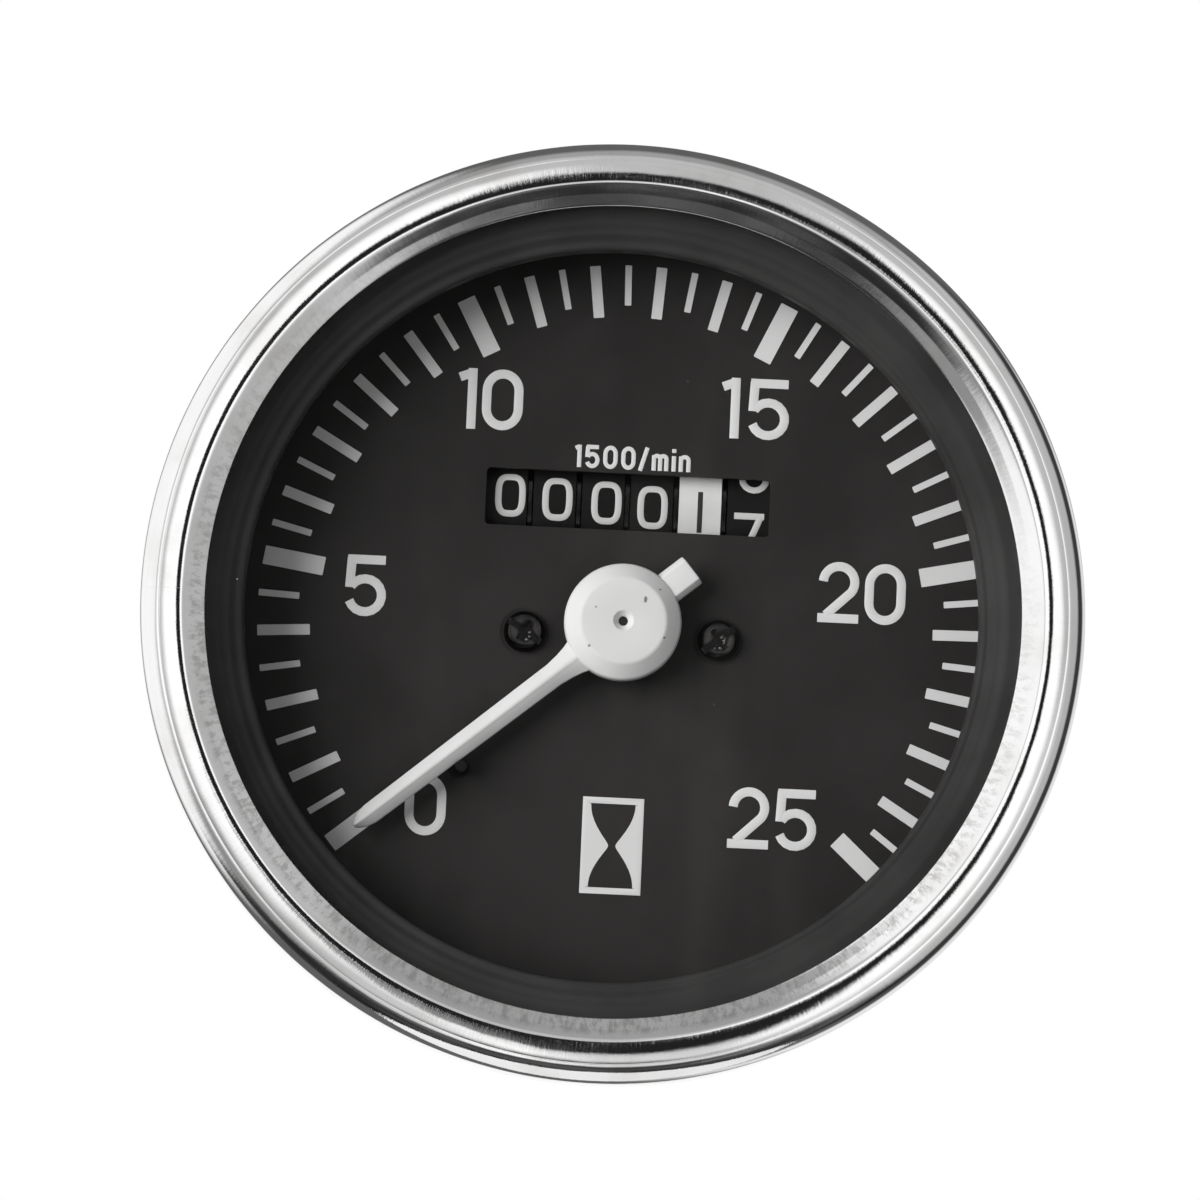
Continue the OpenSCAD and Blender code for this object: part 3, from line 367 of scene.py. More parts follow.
def pressed_fibre():
    f = Finish("pressed_fibre")
    spot = f.place(scale=(1, 0.3, 1))
    strands = f.grain(spot, 0.5, 4, 0.7)
    return f.surface(base_color=f.blend(strands, (0.16, 0.07, 0.03), (0.27, 0.14, 0.07)),
                     roughness=0.62, normal=f.bump(strands, 0.03))


def clear_glass():
    """Clear sheet glass: it lets light through, and mirrors a little, more so at a slant. Faint slanted bands
    of pale diffuse haze on it are painted reflections, and its specks are dust.
    """
    f = Finish("clear_glass")
    spot = f.place()
    # Painted reflection: faint slanted light bands across the glass
    painted_reflection_streaks = f.grain(f.place(scale=(1, 1, 0.12), turn=(0, math.radians(-24), 0)), 9, 3).rise(0.52, 0.8)
    dust = f.specks(spot, 8.5, 0.1) * f.grain(spot, 17).rise(0.45, 0.6)
    through = f.add("BsdfTransparent", {}, {"Color": (0.98, 0.98, 0.98)})
    mirror = f.add("BsdfGlossy", {}, {"Color": (1, 1, 1), "Roughness": 0.02})
    haze = f.add("BsdfDiffuse", {}, {"Color": (0.62, 0.61, 0.58)})
    slant = f.add("LayerWeight", {}, {"Blend": 0.5}, output=1)
    glossy = f.add("MixShader", {}, {0: slant ** 5 * 0.975 + 0.022, 1: through, 2: mirror})
    # The pale diffuse haze carries the dust specks and the faint slanted streaks, which are painted reflections
    return f.end(f.add("MixShader", {}, {0: dust * 0.5 + painted_reflection_streaks * 0.006, 1: glossy, 2: haze}))


def frosted_glass():
    f = Finish("bulb_glass")
    spot = f.place()
    through = f.add("BsdfTransparent", {}, {"Color": (0.9, 0.88, 0.8)})
    milky = f.blend(f.grain(spot, 2), (0.8, 0.78, 0.7), (0.9, 0.88, 0.8))
    skin = f.add("BsdfPrincipled", {}, {"Base Color": milky, "Roughness": 0.2})
    return f.end(f.add("MixShader", {}, {0: 0.45, 1: through, 2: skin}))


finishes = {
    "chrome": chrome_plate(),
    "glass": clear_glass(),
    "rubber": rubber(),
    "black_paint": satin_black("ring_enamel", (0.035, 0.034, 0.0335), 0.001),
    "case_paint": satin_black("case_enamel", (0.022, 0.022, 0.023), 0.03),
    "dial_black": dial_enamel(),
    "print": printed_ink("printed_ink", (0.74, 0.74, 0.735)),
    "figure_white": printed_ink("figure_white", (0.61, 0.61, 0.60)),
    "figure_black": printed_ink("figure_black", (0.02, 0.02, 0.02)),
    "screw_black": blackened_steel(),
    "pointer_white": pointer_enamel(),
    "staff": staff_steel(),
    "steel": turned_metal("bright_steel", (0.60, 0.60, 0.61)),
    "zinc": zinc_plate(),
    "casting": die_casting(),
    "aluminium": turned_metal("spun_aluminium", (0.76, 0.76, 0.77), 0.3),
    "brass": turned_metal("turned_brass", (0.74, 0.55, 0.26)),
    "bronze": turned_metal("phosphor_bronze", (0.62, 0.40, 0.22), 0.32),
    "magnet": moulded_plastic("sintered_magnet", (0.055, 0.055, 0.06), 0.5, 0.05),
    "nylon": moulded_plastic("natural_nylon", (0.68, 0.65, 0.55), 0.4),
    "drum_black": moulded_plastic("black_drum_plastic", (0.0100, 0.0096, 0.0094), 0.4, 0.01, 0.12),
    "drum_white": moulded_plastic("white_drum_plastic", (0.72, 0.72, 0.705), 0.4),
    "fibre": pressed_fibre(),
    "bulb": frosted_glass(),
}
OWN_FINISH = {"case": "case_paint", "transfer_plates": "screw_black", "pointer_staff": "staff"}
for part in frame["record"]["subparts"]:
    node = nodes[part["node"]]
    node.data.materials.clear()
    node.data.materials.append(finishes[OWN_FINISH.get(part["node"], part["material_slot"])])


# Ways of making a piece

def poured(bm, name):
    """A bmesh poured into a mesh of its own."""
    mesh = bpy.data.meshes.new(name)
    bm.to_mesh(mesh)
    bm.free()
    return mesh


def placed(name, data):
    """A new object in the scene."""
    thing = bpy.data.objects.new(name, data)
    bpy.context.scene.collection.objects.link(thing)
    return thing


def as_shown(thing):
    """The form that an object shows, with its cuts or its curve's thickness, as a bmesh."""
    bpy.context.view_layer.update()
    mesh = bpy.data.meshes.new_from_object(thing.evaluated_get(bpy.context.evaluated_depsgraph_get()))
    bm = bmesh.new()
    bm.from_mesh(mesh)
    bpy.data.meshes.remove(mesh)
    return bm


def finished(bm, name, slot, body="housing", angle=35, finish=None):
    """Turns a mesh drawn in millimetres into a piece that rides on a body."""
    bmesh.ops.scale(bm, vec=(MM, MM, MM), verts=bm.verts)
    mesh = poured(bm, name)
    mesh.shade_smooth()
    mesh.set_sharp_from_angle(angle=math.radians(angle))
    mesh.materials.append(finishes[finish or slot])
    piece = placed(name, mesh)
    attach(piece, body)
    return piece


def moved(bm, x=0.0, y=0.0, z=0.0, turn=0.0):
    """Turns a mesh about the Y axis by turn degrees, and then shifts it."""
    bmesh.ops.rotate(bm, cent=(0, 0, 0), matrix=Matrix.Rotation(math.radians(turn), 3, "Y"), verts=bm.verts)
    bmesh.ops.translate(bm, vec=(x, y, z), verts=bm.verts)
    return bm


def outline(bm, points):
    """A closed run of (radius, y) or (radius, y, rounding) points. Returns its edges, corners rounded."""
    corners = [bm.verts.new((p[0], p[1], 0)) for p in points]
    bm.faces.new(corners)
    for size in sorted({p[2] for p in points if len(p) > 2}):
        chosen = [c for c, p in zip(corners, points) if len(p) > 2 and p[2] == size]
        bmesh.ops.bevel(bm, geom=chosen, offset=size, segments=5, profile=0.5, affect="VERTICES", material=-1)
    bmesh.ops.delete(bm, geom=bm.faces[:], context="FACES_ONLY")
    return bm.verts[:] + bm.edges[:]


def spun(points, steps=96, x=0.0):
    """A solid of revolution about an axis along Y through x."""
    bm = bmesh.new()
    bmesh.ops.spin(bm, geom=outline(bm, points), cent=(0, 0, 0), axis=(0, 1, 0), angle=FULL_TURN,
                   steps=steps, use_merge=True)
    bmesh.ops.remove_doubles(bm, verts=bm.verts, dist=1e-4)
    bmesh.ops.recalc_face_normals(bm, faces=bm.faces)
    return moved(bm, x)


def sweep(x, y, wide, high, start, end, steps=16):
    """Points along an ellipse, from one angle in degrees to another."""
    angles = [math.radians(start + (end - start) * i / steps) for i in range(steps + 1)]
    return [(x + wide * math.cos(a), y + high * math.sin(a)) for a in angles]


def arc(x, y, r, start, end, steps):
    return sweep(x, y, r, r, start, end, steps)


def joined(*meshes):
    """Several bmeshes as one."""
    whole = bmesh.new()
    for bm in meshes:
        mesh = poured(bm, "part")
        whole.from_mesh(mesh)
        bpy.data.meshes.remove(mesh)
    return whole


def prism(points, y0, y1):
    """A flat plate from y0 to y1 whose outline is given as (x, z) points."""
    bm = bmesh.new()
    face = bm.faces.new([bm.verts.new((px, y0, pz)) for px, pz in points])
    made = bmesh.ops.extrude_face_region(bm, geom=[face])["geom"]
    bmesh.ops.translate(bm, vec=(0, y1 - y0, 0), verts=[v for v in made if isinstance(v, bmesh.types.BMVert)])
    bmesh.ops.recalc_face_normals(bm, faces=bm.faces)
    return bm


def disc(x, z, r, y0, y1, steps=48):
    return prism([(x + r * math.cos(FULL_TURN * k / steps), z + r * math.sin(FULL_TURN * k / steps))
                  for k in range(steps)], y0, y1)


def rounded(x, z, wide, high, r):
    """The outline of a rectangle whose corners are rounded."""
    corners = ((1, 1, 0), (-1, 1, 90), (-1, -1, 180), (1, -1, 270))
    return [point for sx, sz, start in corners
            for point in arc(x + sx * (wide / 2 - r), z + sz * (high / 2 - r), r, start, start + 90, 6)]


def eased(bm, sharper_than, size, segments):
    """Rounds the edges whose faces meet at more than an angle in radians."""
    bmesh.ops.bevel(bm, geom=[e for e in bm.edges if e.calc_face_angle(0) > sharper_than], offset=size,
                    segments=segments, profile=0.5, affect="EDGES", material=-1)
    return bm


def carved(bm, cutters, added=()):
    """A closed mesh with other closed meshes added to it, and then others cut out of it."""
    block = placed("block", poured(bm, "block"))
    steps = [("UNION", extra) for extra in added] + [("DIFFERENCE", cutter) for cutter in cutters]
    tools = [placed("tool", poured(tool, "tool")) for _, tool in steps]
    for (operation, _), tool in zip(steps, tools):
        cut = block.modifiers.new("cut", "BOOLEAN")
        cut.operation, cut.object, cut.solver = operation, tool, "EXACT"
    bm = as_shown(block)
    for used in [block] + tools:
        bpy.data.meshes.remove(used.data)
    return bm


def stroke(points, width, thickness, face, closed=False):
    """A printed line of even width along (x, z) points, lying on the plane y = face."""
    path = bpy.data.curves.new("stroke", "CURVE")
    path.dimensions = "3D"
    path.fill_mode = "FULL"
    path.bevel_depth = width / 2
    path.bevel_resolution = 2
    path.use_fill_caps = True
    line = path.splines.new("POLY")
    line.points.add(len(points) - 1)
    for point, (px, pz) in zip(line.points, points):
        point.co = (px, pz, 0, 1)
    line.use_cyclic_u = closed
    bm = as_shown(placed("stroke", path))
    bpy.data.curves.remove(path)
    bmesh.ops.scale(bm, vec=(1, 1, 2 * thickness / width), verts=bm.verts)
    bmesh.ops.rotate(bm, cent=(0, 0, 0), matrix=Matrix.Rotation(math.radians(90), 3, "X"), verts=bm.verts)
    bmesh.ops.translate(bm, vec=(0, face, 0), verts=bm.verts)
    return bm


# The chromed bezel: a slope up from its lip, a broad roll, and a narrow roll round the edge

LIP_R, EDGE_R, LIP_FRONT = 47.6, 54.98, -7.14
BEZEL_SHEET = 0.55
SECOND_ROLL = 0.7
LEANS = [(0, -28), (0.14, -28), (0.16, -34), (0.27, -32), (0.305, -27), (0.33, -16), (0.36, -6.5),
         (0.405, -1.6), (0.446, 3.5), (0.486, 6), (0.54, 9), (0.58, 11), (0.66, 18), (0.69, 21),
         (SECOND_ROLL, 9), (0.72, 14), (0.75, 22), (0.8, 27), (0.85, 35), (0.905, 50), (0.945, 62),
         (0.98, 74), (1, 86)]


def rolled_sheet(leans, thickness, steps=6):
    """The outline of a bent sheet from (share of the width, outward lean in degrees) pairs, front then back."""
    r, y, front, back = LIP_R, LIP_FRONT, [], []
    for (s0, a0), (s1, a1) in zip(leans, leans[1:]):
        for i in range(steps):
            lean = math.radians(a0 + (a1 - a0) * i / steps)
            front.append((r, y))
            if i == 0 and abs(s0 - SECOND_ROLL) > 0.06:
                back.append((r - thickness * math.sin(lean), y + thickness * math.cos(lean)))
            y += (s1 - s0) * (EDGE_R - LIP_R) / steps * math.tan(lean + math.radians((a1 - a0) / steps / 2))
            r = LIP_R + (EDGE_R - LIP_R) * (s0 + (s1 - s0) * (i + 1) / steps)
    front += [(EDGE_R, y), (EDGE_R, -1.5, 0.15), (51.3, -1.5, 0.15), (51.3, -2.1),
              (EDGE_R - thickness, -2.1)]
    return front + back[::-1]


bezel = finished(spun([(LIP_R - 0.2, LIP_FRONT + 0.25, 0.06), (LIP_R - 0.2, LIP_FRONT + 0.12, 0.06)]
                      + rolled_sheet(LEANS, BEZEL_SHEET), 288), "rolled_bezel", "chrome", angle=30)
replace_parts(bezel, "bezel_ring")

# The black ring behind the glass: flat, then two soft creases down to a thin rolled lip

RING = [(53.2, -3.6), (46.0, -3.6, 0.4), (45.3, -3.15, 0.3), (44.7, -3.0, 0.2), (44.3, -2.65, 0.2),
        (43.95, -2.35, 0.3)] + arc(43.55, -1.75, 0.62, -75, -180, 8) + [
    (42.87, -0.25, 0.1), (43.45, -0.25, 0.1), (43.5, -1.5), (44.2, -1.9), (44.8, -2.35), (45.6, -2.6),
    (46.1, -3.0), (53.2, -3.0)]
ring = finished(spun(RING, 256), "creased_black_ring", "black_paint", angle=50)
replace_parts(ring, "inner_ring")


# The pointer: a turned hub with a chamfer and a centre dimple, a roof-shaped blade and a stubby tail

HUB = [(0.55, HUB_BACK), (6.9, HUB_BACK, 0.15), (6.9, HUB_BACK - 1.85, 0.35), (5.05, HUB_FRONT, 0.25),
       (1.2, HUB_FRONT, 0.08), (0.56, HUB_FRONT + 0.75, 0.03)]


def roof(stations, back, skirt, ridge):
    """A bar along X with a roof on its front. A station is (x, half width at the foot, half width on top)."""
    bm = bmesh.new()
    rings = []
    for x, foot, top in stations:
        run = [(-foot, back), (-foot, back - skirt), (-top, back - ridge), (top, back - ridge),
               (foot, back - skirt), (foot, back)]
        corners = [bm.verts.new((x, py, pz)) for pz, py in run]
        rings.append([bm.edges.new(pair) for pair in zip(corners, corners[1:] + corners[:1])])
    for first, second in zip(rings, rings[1:]):
        bmesh.ops.bridge_loops(bm, edges=first + second)
    for end in (rings[0], rings[-1]):
        bmesh.ops.edgeloop_fill(bm, edges=end)
    bmesh.ops.recalc_face_normals(bm, faces=bm.faces)
    return bm


def blade_half(x):
    """Half the blade's width at its foot, which narrows evenly towards the point."""
    return (3.0 - 0.55 * x / 37.0) / 2


BLADE_BACK = HUB_BACK - 0.3
BLADE_SIDE, BLADE_RIDGE = 0.7, 1.5
BLADE = [(4.5, 2.4, 0.16), (6.4, 2.15, 0.16), (7.4, 1.85, 0.15), (8.6, 1.6, 0.14),
         (10.2, blade_half(10.2), 0.13), (24.0, blade_half(24), 0.12), (37.3, 1.22, 0.1), (38.4, 0.97, 0.09),
         (39.2, 0.58, 0.07), (39.6, 0.24, 0.05)]
TAIL = [(-10.3, 1.95, 1.35), (-9.9, 1.95, 1.35), (-5.0, 1.95, 1.35)]
blade = eased(roof(BLADE, BLADE_BACK, BLADE_SIDE, BLADE_RIDGE), 0.4, 0.06, 2)
tail = eased(roof(TAIL, BLADE_BACK, BLADE_SIDE, BLADE_RIDGE), 0.3, 0.14, 3)
pointer = finished(moved(joined(spun(HUB, 96), blade, tail), DIAL_X, turn=-REST_ANGLE), "roofed_pointer",
                   "pointer_white", "pointer", angle=30)
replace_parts(pointer, "pointer")

# The dial: a disc with the counter's window, the hub's hole, two screw holes and the stop pin's hole

pin_low, pin_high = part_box("stop_pin")
pin_x, pin_z = (pin_low.x + pin_high.x) / 2 / MM, (pin_low.z + pin_high.z) / 2 / MM
through = (DIAL_FACE - 1, DIAL_BACK + 1)
HUB_HOLE_R, PIN_HOLE_R, SCREW_HOLE_R = 2.0, 0.65, 1.25
sheet = carved(disc(DIAL_X, 0, DIAL_R, DIAL_FACE, DIAL_BACK, 192),
               [prism(rounded(DIAL_X + COUNTER_X, COUNTER_Z, WINDOW_W, WINDOW_H, 0.55), *through),
                disc(DIAL_X, 0, HUB_HOLE_R, *through), disc(pin_x, pin_z, PIN_HOLE_R, *through)]
               + [disc(DIAL_X + side * SCREWS_X, SCREWS_Z, SCREW_HOLE_R, *through) for side in (-1, 1)])
dial = finished(sheet, "windowed_dial", "dial_black", angle=40)
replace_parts(dial, "dial")

# The scale: five steps between one broad tick and the next, each halved. A tick is (length, width), and its
# ink lies INK_T thick on the dial and a little way into it.

SCALE_R = 42.95
BROAD_TICKS = [219.5, 171.4, 117.9, 64.8, 11.75, -42.4]
HALVES = [8, 10, 10, 10, 10, 1]
BROAD, LONG, SHORT = (7.2, 2.2), (6.2, 1.25), (4.8, 0.77)
INK_T, INK_SUNK = 0.08, 0.02

ticks = []
for first, last, halves in zip(BROAD_TICKS, BROAD_TICKS[1:] + BROAD_TICKS[-1:], HALVES):
    for k in range(halves):
        length, width = BROAD if k == 0 else SHORT if k % 2 else LONG
        bar = prism(rounded(SCALE_R - length / 2, 0, length, width, 0.1), DIAL_FACE - INK_T,
                    DIAL_FACE + INK_SUNK)
        ticks.append(moved(bar, DIAL_X, turn=-(first + (last - first) * k / halves)))
scale = finished(joined(*ticks), "scale_ticks", "print")
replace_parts(scale, "scale_print")

# The dial's two pan-head screws, slotted and with a cross recess

def pan_head():
    top = DIAL_FACE - 1.7
    head = spun([(0, top), (1.5, top + 0.02), (2.1, top + 0.3, 0.3), (2.45, top + 1.0, 0.3),
                 (2.45, DIAL_FACE, 0.05), (1.25, DIAL_FACE), (1.25, DIAL_FACE + 1), (0, DIAL_FACE + 1)], 64)
    return carved(head, [prism(rounded(0, 0, 5.4, 0.85, 0.05), top - 1, top + 0.7),
                         prism(rounded(0, 0, 0.75, 2.7, 0.3), top - 1, top + 1.25),
                         disc(0, 0, 0.75, top - 1, top + 1.4, 12)])


screws = [moved(pan_head(), DIAL_X + side * SCREWS_X, 0, SCREWS_Z, turn) for side, turn in ((-1, 33), (1, -38))]
dial_screws = finished(joined(*screws), "cross_slot_dial_screws", "screw_black", angle=40)
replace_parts(dial_screws, "dial_screws")

# Figures, drawn as strokes: runs of (x, z) points in a cell 4.8 wide and 7.25 high, centred on 0. Between the
# middles of its outer lines a figure is CELL_W wide and CELL_H high. The "o" is the squarer nought of the
# drums, and "|" is a one without a flag.

CELL_W, CELL_H = 3.75, 6.18
FIGURES = {
    "0": [sweep(0, 1.1, 1.87, 1.99, 0, 180) + sweep(0, -1.1, 1.87, 1.99, 180, 360) + [(1.87, 1.1)]],
    "1": [[(0.55, 3.62), (0.55, -3.62)], [(-0.95, 2.5), (0.55, 3.1)]],
    "2": [sweep(0, 1.2, 1.85, 1.89, 178, -38) + [(-1.45, -2.75)], [(-2.4, -3.09), (2.4, -3.09)]],
    "3": [[(-2.1, 3.09), (2.0, 3.09)], [(1.75, 2.95), (0.0, 0.75)], sweep(-0.05, -1.1, 1.9, 2.0, 85, -165)],
    "4": [[(0.75, 3.62), (-1.9, -1.4)], [(-2.35, -1.55), (2.4, -1.55)], [(1.0, 0.4), (1.0, -3.62)]],
    "5": [[(-2.2, 3.09), (2.2, 3.09)], [(-1.72, 3.3), (-1.88, -0.25)],
          sweep(-0.05, -1.15, 1.94, 1.96, 148, -160)],
    "6": [sweep(0, -1.15, 1.87, 1.94, 90, 450), [(1.25, 3.62), (-0.7, 0.95), (-1.6, -0.35)]],
    "7": [[(-2.35, 3.09), (2.35, 3.09)], [(1.85, 3.2), (-0.7, -3.62)]],
    "8": [sweep(0, 1.65, 1.55, 1.45, 0, 360), sweep(0, -1.35, 1.87, 1.75, 0, 360)],
    "9": [sweep(0, 1.15, 1.87, 1.94, -90, 270), [(-1.25, -3.62), (0.7, -0.95), (1.6, 0.35)]],
    "o": [[(1.87 * math.copysign(abs(c) ** 0.62, c), 3.09 * math.copysign(abs(d) ** 0.62, d))
           for c, d in ((math.cos(k * math.pi / 24), math.sin(k * math.pi / 24)) for k in range(49))]],
    "|": [[(0, 3.3), (0, -3.3)]],
    "/": [[(-1.25, -3.9), (1.25, 3.7)]],
    "m": [[(-2.3, -3.62), (-2.3, 1.35)], sweep(-1.15, 0.2, 1.15, 1.0, 180, 0) + [(0, -3.62)],
          sweep(1.15, 0.2, 1.15, 1.0, 180, 0) + [(2.3, -3.62)]],
    "i": [[(0, -3.62), (0, 1.35)], [(0, 2.4), (0, 3.62)]],
    "n": [[(-1.4, -3.62), (-1.4, 1.35)], sweep(0, 0.0, 1.4, 1.2, 180, 0) + [(1.4, -3.62)]],
}
NARROW = {"1": 0.53, "i": 0.22, "/": 0.62, "m": 1.18, "n": 0.80}


def figure(text, height, width, line, gap, face=0.0, thickness=0.05):
    """A row of figures centred on the origin: height and width of one, its line's width and the gap between."""
    lengths = [width * NARROW.get(c, 1.0) for c in text]
    place = -(sum(lengths) + gap * (len(text) - 1)) / 2
    wide, high = (width - line) / CELL_W, (height - line) / CELL_H
    meshes = []
    for c, length in zip(text, lengths):
        for run in FIGURES[c]:
            closed = math.dist(run[0], run[-1]) < 1e-6
            points = []
            for (x0, z0), (x1, z1) in zip(run, run[1:]):
                pieces = max(1, round(math.hypot(x1 - x0, z1 - z0) / 0.45))
                points += [(x0 + (x1 - x0) * i / pieces, z0 + (z1 - z0) * i / pieces) for i in range(pieces)]
            if not closed:
                points.append(run[-1])
            points = [(place + length / 2 + px * wide, pz * high) for px, pz in points]
            meshes.append(stroke(points, line, thickness, face, closed))
        place += length + gap
    return joined(*meshes)


# Printing on the dial: the numerals, the rate above the counter and the hourglass below

numerals = []
for text, x, z, gap in (("0", -22.15, -22.25, 0), ("5", -30.35, 3.3, 0), ("10", -16.75, 26.15, 0.48),
                        ("15", 14.6, 26.5, 0.85), ("20", 28.2, 5.15, 0.65), ("25", 18.7, -22.05, 0.75)):
    numerals.append(moved(figure(text, 7.25, 4.85, 1.07, gap, DIAL_FACE), DIAL_X + x, 0, z))
finished(joined(*numerals), "scale_numerals", "print")

rate = figure("1500/min", 2.78, 1.71, 0.5, 0.42, DIAL_FACE, 0.03)
finished(moved(rate, DIAL_X + 0.4, 0, 19.92), "rate_marking", "print")


def hourglass():
    """A light frame round a dark hourglass: its light sides swell in towards the neck."""
    wide, high, border = 7.5, 11.7, 1.05
    frame_line = stroke([(sx * (wide - border) / 2, sz * (high - border) / 2) for sx, sz in
                         ((-1, -1), (1, -1), (1, 1), (-1, 1))], border, 0.05, 0, True)
    end = high / 2 - border * 0.9
    sides = []
    for side in (-1, 1):
        curve = []
        for i in range(-24, 25):
            flare = (math.hypot(i / 24, 0.1) - 0.1) / (math.hypot(1, 0.1) - 0.1)
            curve.append((side * (0.43 + 2.19 * math.sin(math.pi / 2 * flare) ** 0.85), end * i / 24))
        sides.append(prism(curve + [(side * 3.1, end), (side * 3.1, -end)], -0.05, 0.02))
    return joined(frame_line, *sides)


finished(moved(hourglass(), DIAL_X - 0.05, DIAL_FACE, -26.1), "hourglass_sign", "print")

# The counter's figures, wrapped round their drums. READING is the digit at each drum's front, and the
# figures are printed ASIDE from the middle of each drum.

ASIDE = (0.5, 0.33, 0.4, 0.12, 0.0, 0.1)
READING = {1: 0.05, 2: 0.02, 3: 0.0, 4: -0.04, 5: 0.92, 6: 6.6}
for k, shown in READING.items():
    rows = []
    for digit in range(10):
        plain = k == 5 and digit == 1
        shape = "|" if plain else "o" if digit == 0 else str(digit)
        bm = moved(figure(shape, 5.15, 3.6, 0.6 if plain else 0.76, 0.2),
                   ASIDE[k - 1] + (0.45 if k == digit == 6 else 0))
        angle = math.radians(36 * (shown - digit))
        for v in bm.verts:
            turn = v.co.z / DRUM_R + angle
            out = DRUM_R + 0.01 - v.co.y
            v.co = (v.co.x + DIAL_X + FIRST_DRUM_X + (k - 1) * DRUM_PITCH, COUNTER_Y - out * math.cos(turn),
                    COUNTER_Z + out * math.sin(turn))
        rows.append(bm)
    finished(joined(*rows), f"drum_{k}_figures", "print", f"drum_{k}",
             finish="figure_black" if k == 5 else "figure_white")

# The back: a threaded spigot with its chamfered nut, two threaded studs with knurled nuts, a bent bow and
# four slotted screws

BACK = 62.5
STUDS_X = 30.0
BOW_T, BOW_HALF, BEND_R = 1.5, 8.0, 3
bow_front, bow_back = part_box("clamp_bow")
BOW_END, BOW_BACK, BOW_FOOT = bow_back.x / MM, bow_back.y / MM, bow_front.y / MM


def thread(crest, depth, pitch, start, end, x=0.0, steps=32):
    """The ridge of a right-hand thread wound along Y, its foot a little inside the core."""
    bm = bmesh.new()
    foot = crest - depth - 0.06
    run = [(foot, -0.46), (crest, -0.07), (crest, 0.07), (foot, 0.46)]
    face = bm.faces.new([bm.verts.new((r, start + share * pitch, 0)) for r, share in run])
    turns = (end - start) / pitch
    count = round(turns * steps)
    bmesh.ops.spin(bm, geom=[face] + face.edges[:] + face.verts[:], cent=(0, 0, 0), axis=(0, 1, 0),
                   dvec=(0, (end - start) / count, 0), angle=FULL_TURN * turns, steps=count)
    bmesh.ops.recalc_face_normals(bm, faces=bm.faces)
    return moved(bm, x)


def edge_cutter(r, y, size, x=0.0, slope=1.0):
    """A ring that chamfers the edge at radius r of a face at y. A negative size is for a face towards -Y."""
    reach = 3.5
    return spun([(r - abs(size), y), (r - abs(size), y + size * 2), (r + reach, y + size * 2),
                 (r + reach, y - size * slope * (1 + reach / abs(size)))], 96, x)


def softened(piece, width):
    """Broken edges, as bending, stamping and plating leave them."""
    soft = piece.modifiers.new("edges", "BEVEL")
    soft.width, soft.segments, soft.limit_method, soft.angle_limit = width * MM, 2, "ANGLE", math.radians(40)


SPIGOT = [(6.5, 60), (12, 60, 0.2), (12, 61.6, 0.2), (10, 61.6), (10, 66.5, 0.3), (8.9, 66.5), (8.9, 67.4),
          (8.15, 68.1), (8.15, 78.0), (7.7, 78.5), (7.0, 78.5), (6.5, 78.0)]
spigot = joined(spun(SPIGOT, 96, DIAL_X), thread(9.0, 0.85, 1.5, 68.4, 77.4, DIAL_X, 48))
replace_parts(finished(spigot, "threaded_spigot", "brass"), "drive_spigot")

HEX_R, HEX_T = 14.43, 3
six = [(DIAL_X + HEX_R * math.cos(FULL_TURN * k / 6), HEX_R * math.sin(FULL_TURN * k / 6)) for k in range(6)]
big_nut = carved(prism(six, BACK, BACK + HEX_T), [disc(DIAL_X, 0, 10, BACK - 1, BACK + HEX_T + 1, 96),
                                                  edge_cutter(HEX_R, BACK + HEX_T, 1.1, DIAL_X, 0.6)])
big_nut = finished(big_nut, "chamfered_spigot_nut", "zinc")
softened(big_nut, 0.12)
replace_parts(big_nut, "spigot_nut")

STUD = [(0, 60.6), (4, 60.6, 0.15), (4, 61.6, 0.15), (2.5, 61.6), (2.5, 62.2), (2.1, 62.6), (2.1, 77.1),
        (1.8, 77.5), (0, 77.5)]
studs = [joined(spun(STUD, 32, side * STUDS_X), thread(2.5, 0.4, 0.8, 63.0, 76.8, side * STUDS_X, 24))
         for side in (-1, 1)]
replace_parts(finished(joined(*studs), "threaded_studs", "zinc"), "mounting_studs")

KNURLS, KNURL_ROOT_R, KNURL_R = 30, 5.62, 6.0
NUT_FRONT, NUT_BACK = 68.8, 73.8
ridges = []
for k in range(KNURLS):
    for r, share in ((KNURL_ROOT_R, -0.24), (KNURL_R, -0.1), (KNURL_R, 0.1), (KNURL_ROOT_R, 0.24)):
        turn = FULL_TURN * (k + share) / KNURLS
        ridges.append((r * math.cos(turn), r * math.sin(turn)))
nuts = []
for side in (-1, 1):
    place = side * STUDS_X
    nuts.append(carved(prism([(place + px, pz) for px, pz in ridges], NUT_FRONT, NUT_BACK),
                       [disc(place, 0, 2.52, 68, 75, 48), edge_cutter(KNURL_R, NUT_BACK, 0.6, place),
                        edge_cutter(KNURL_R, NUT_FRONT, -0.6, place)]))
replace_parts(finished(joined(*nuts), "knurled_nuts", "brass", angle=25), "stud_nuts")

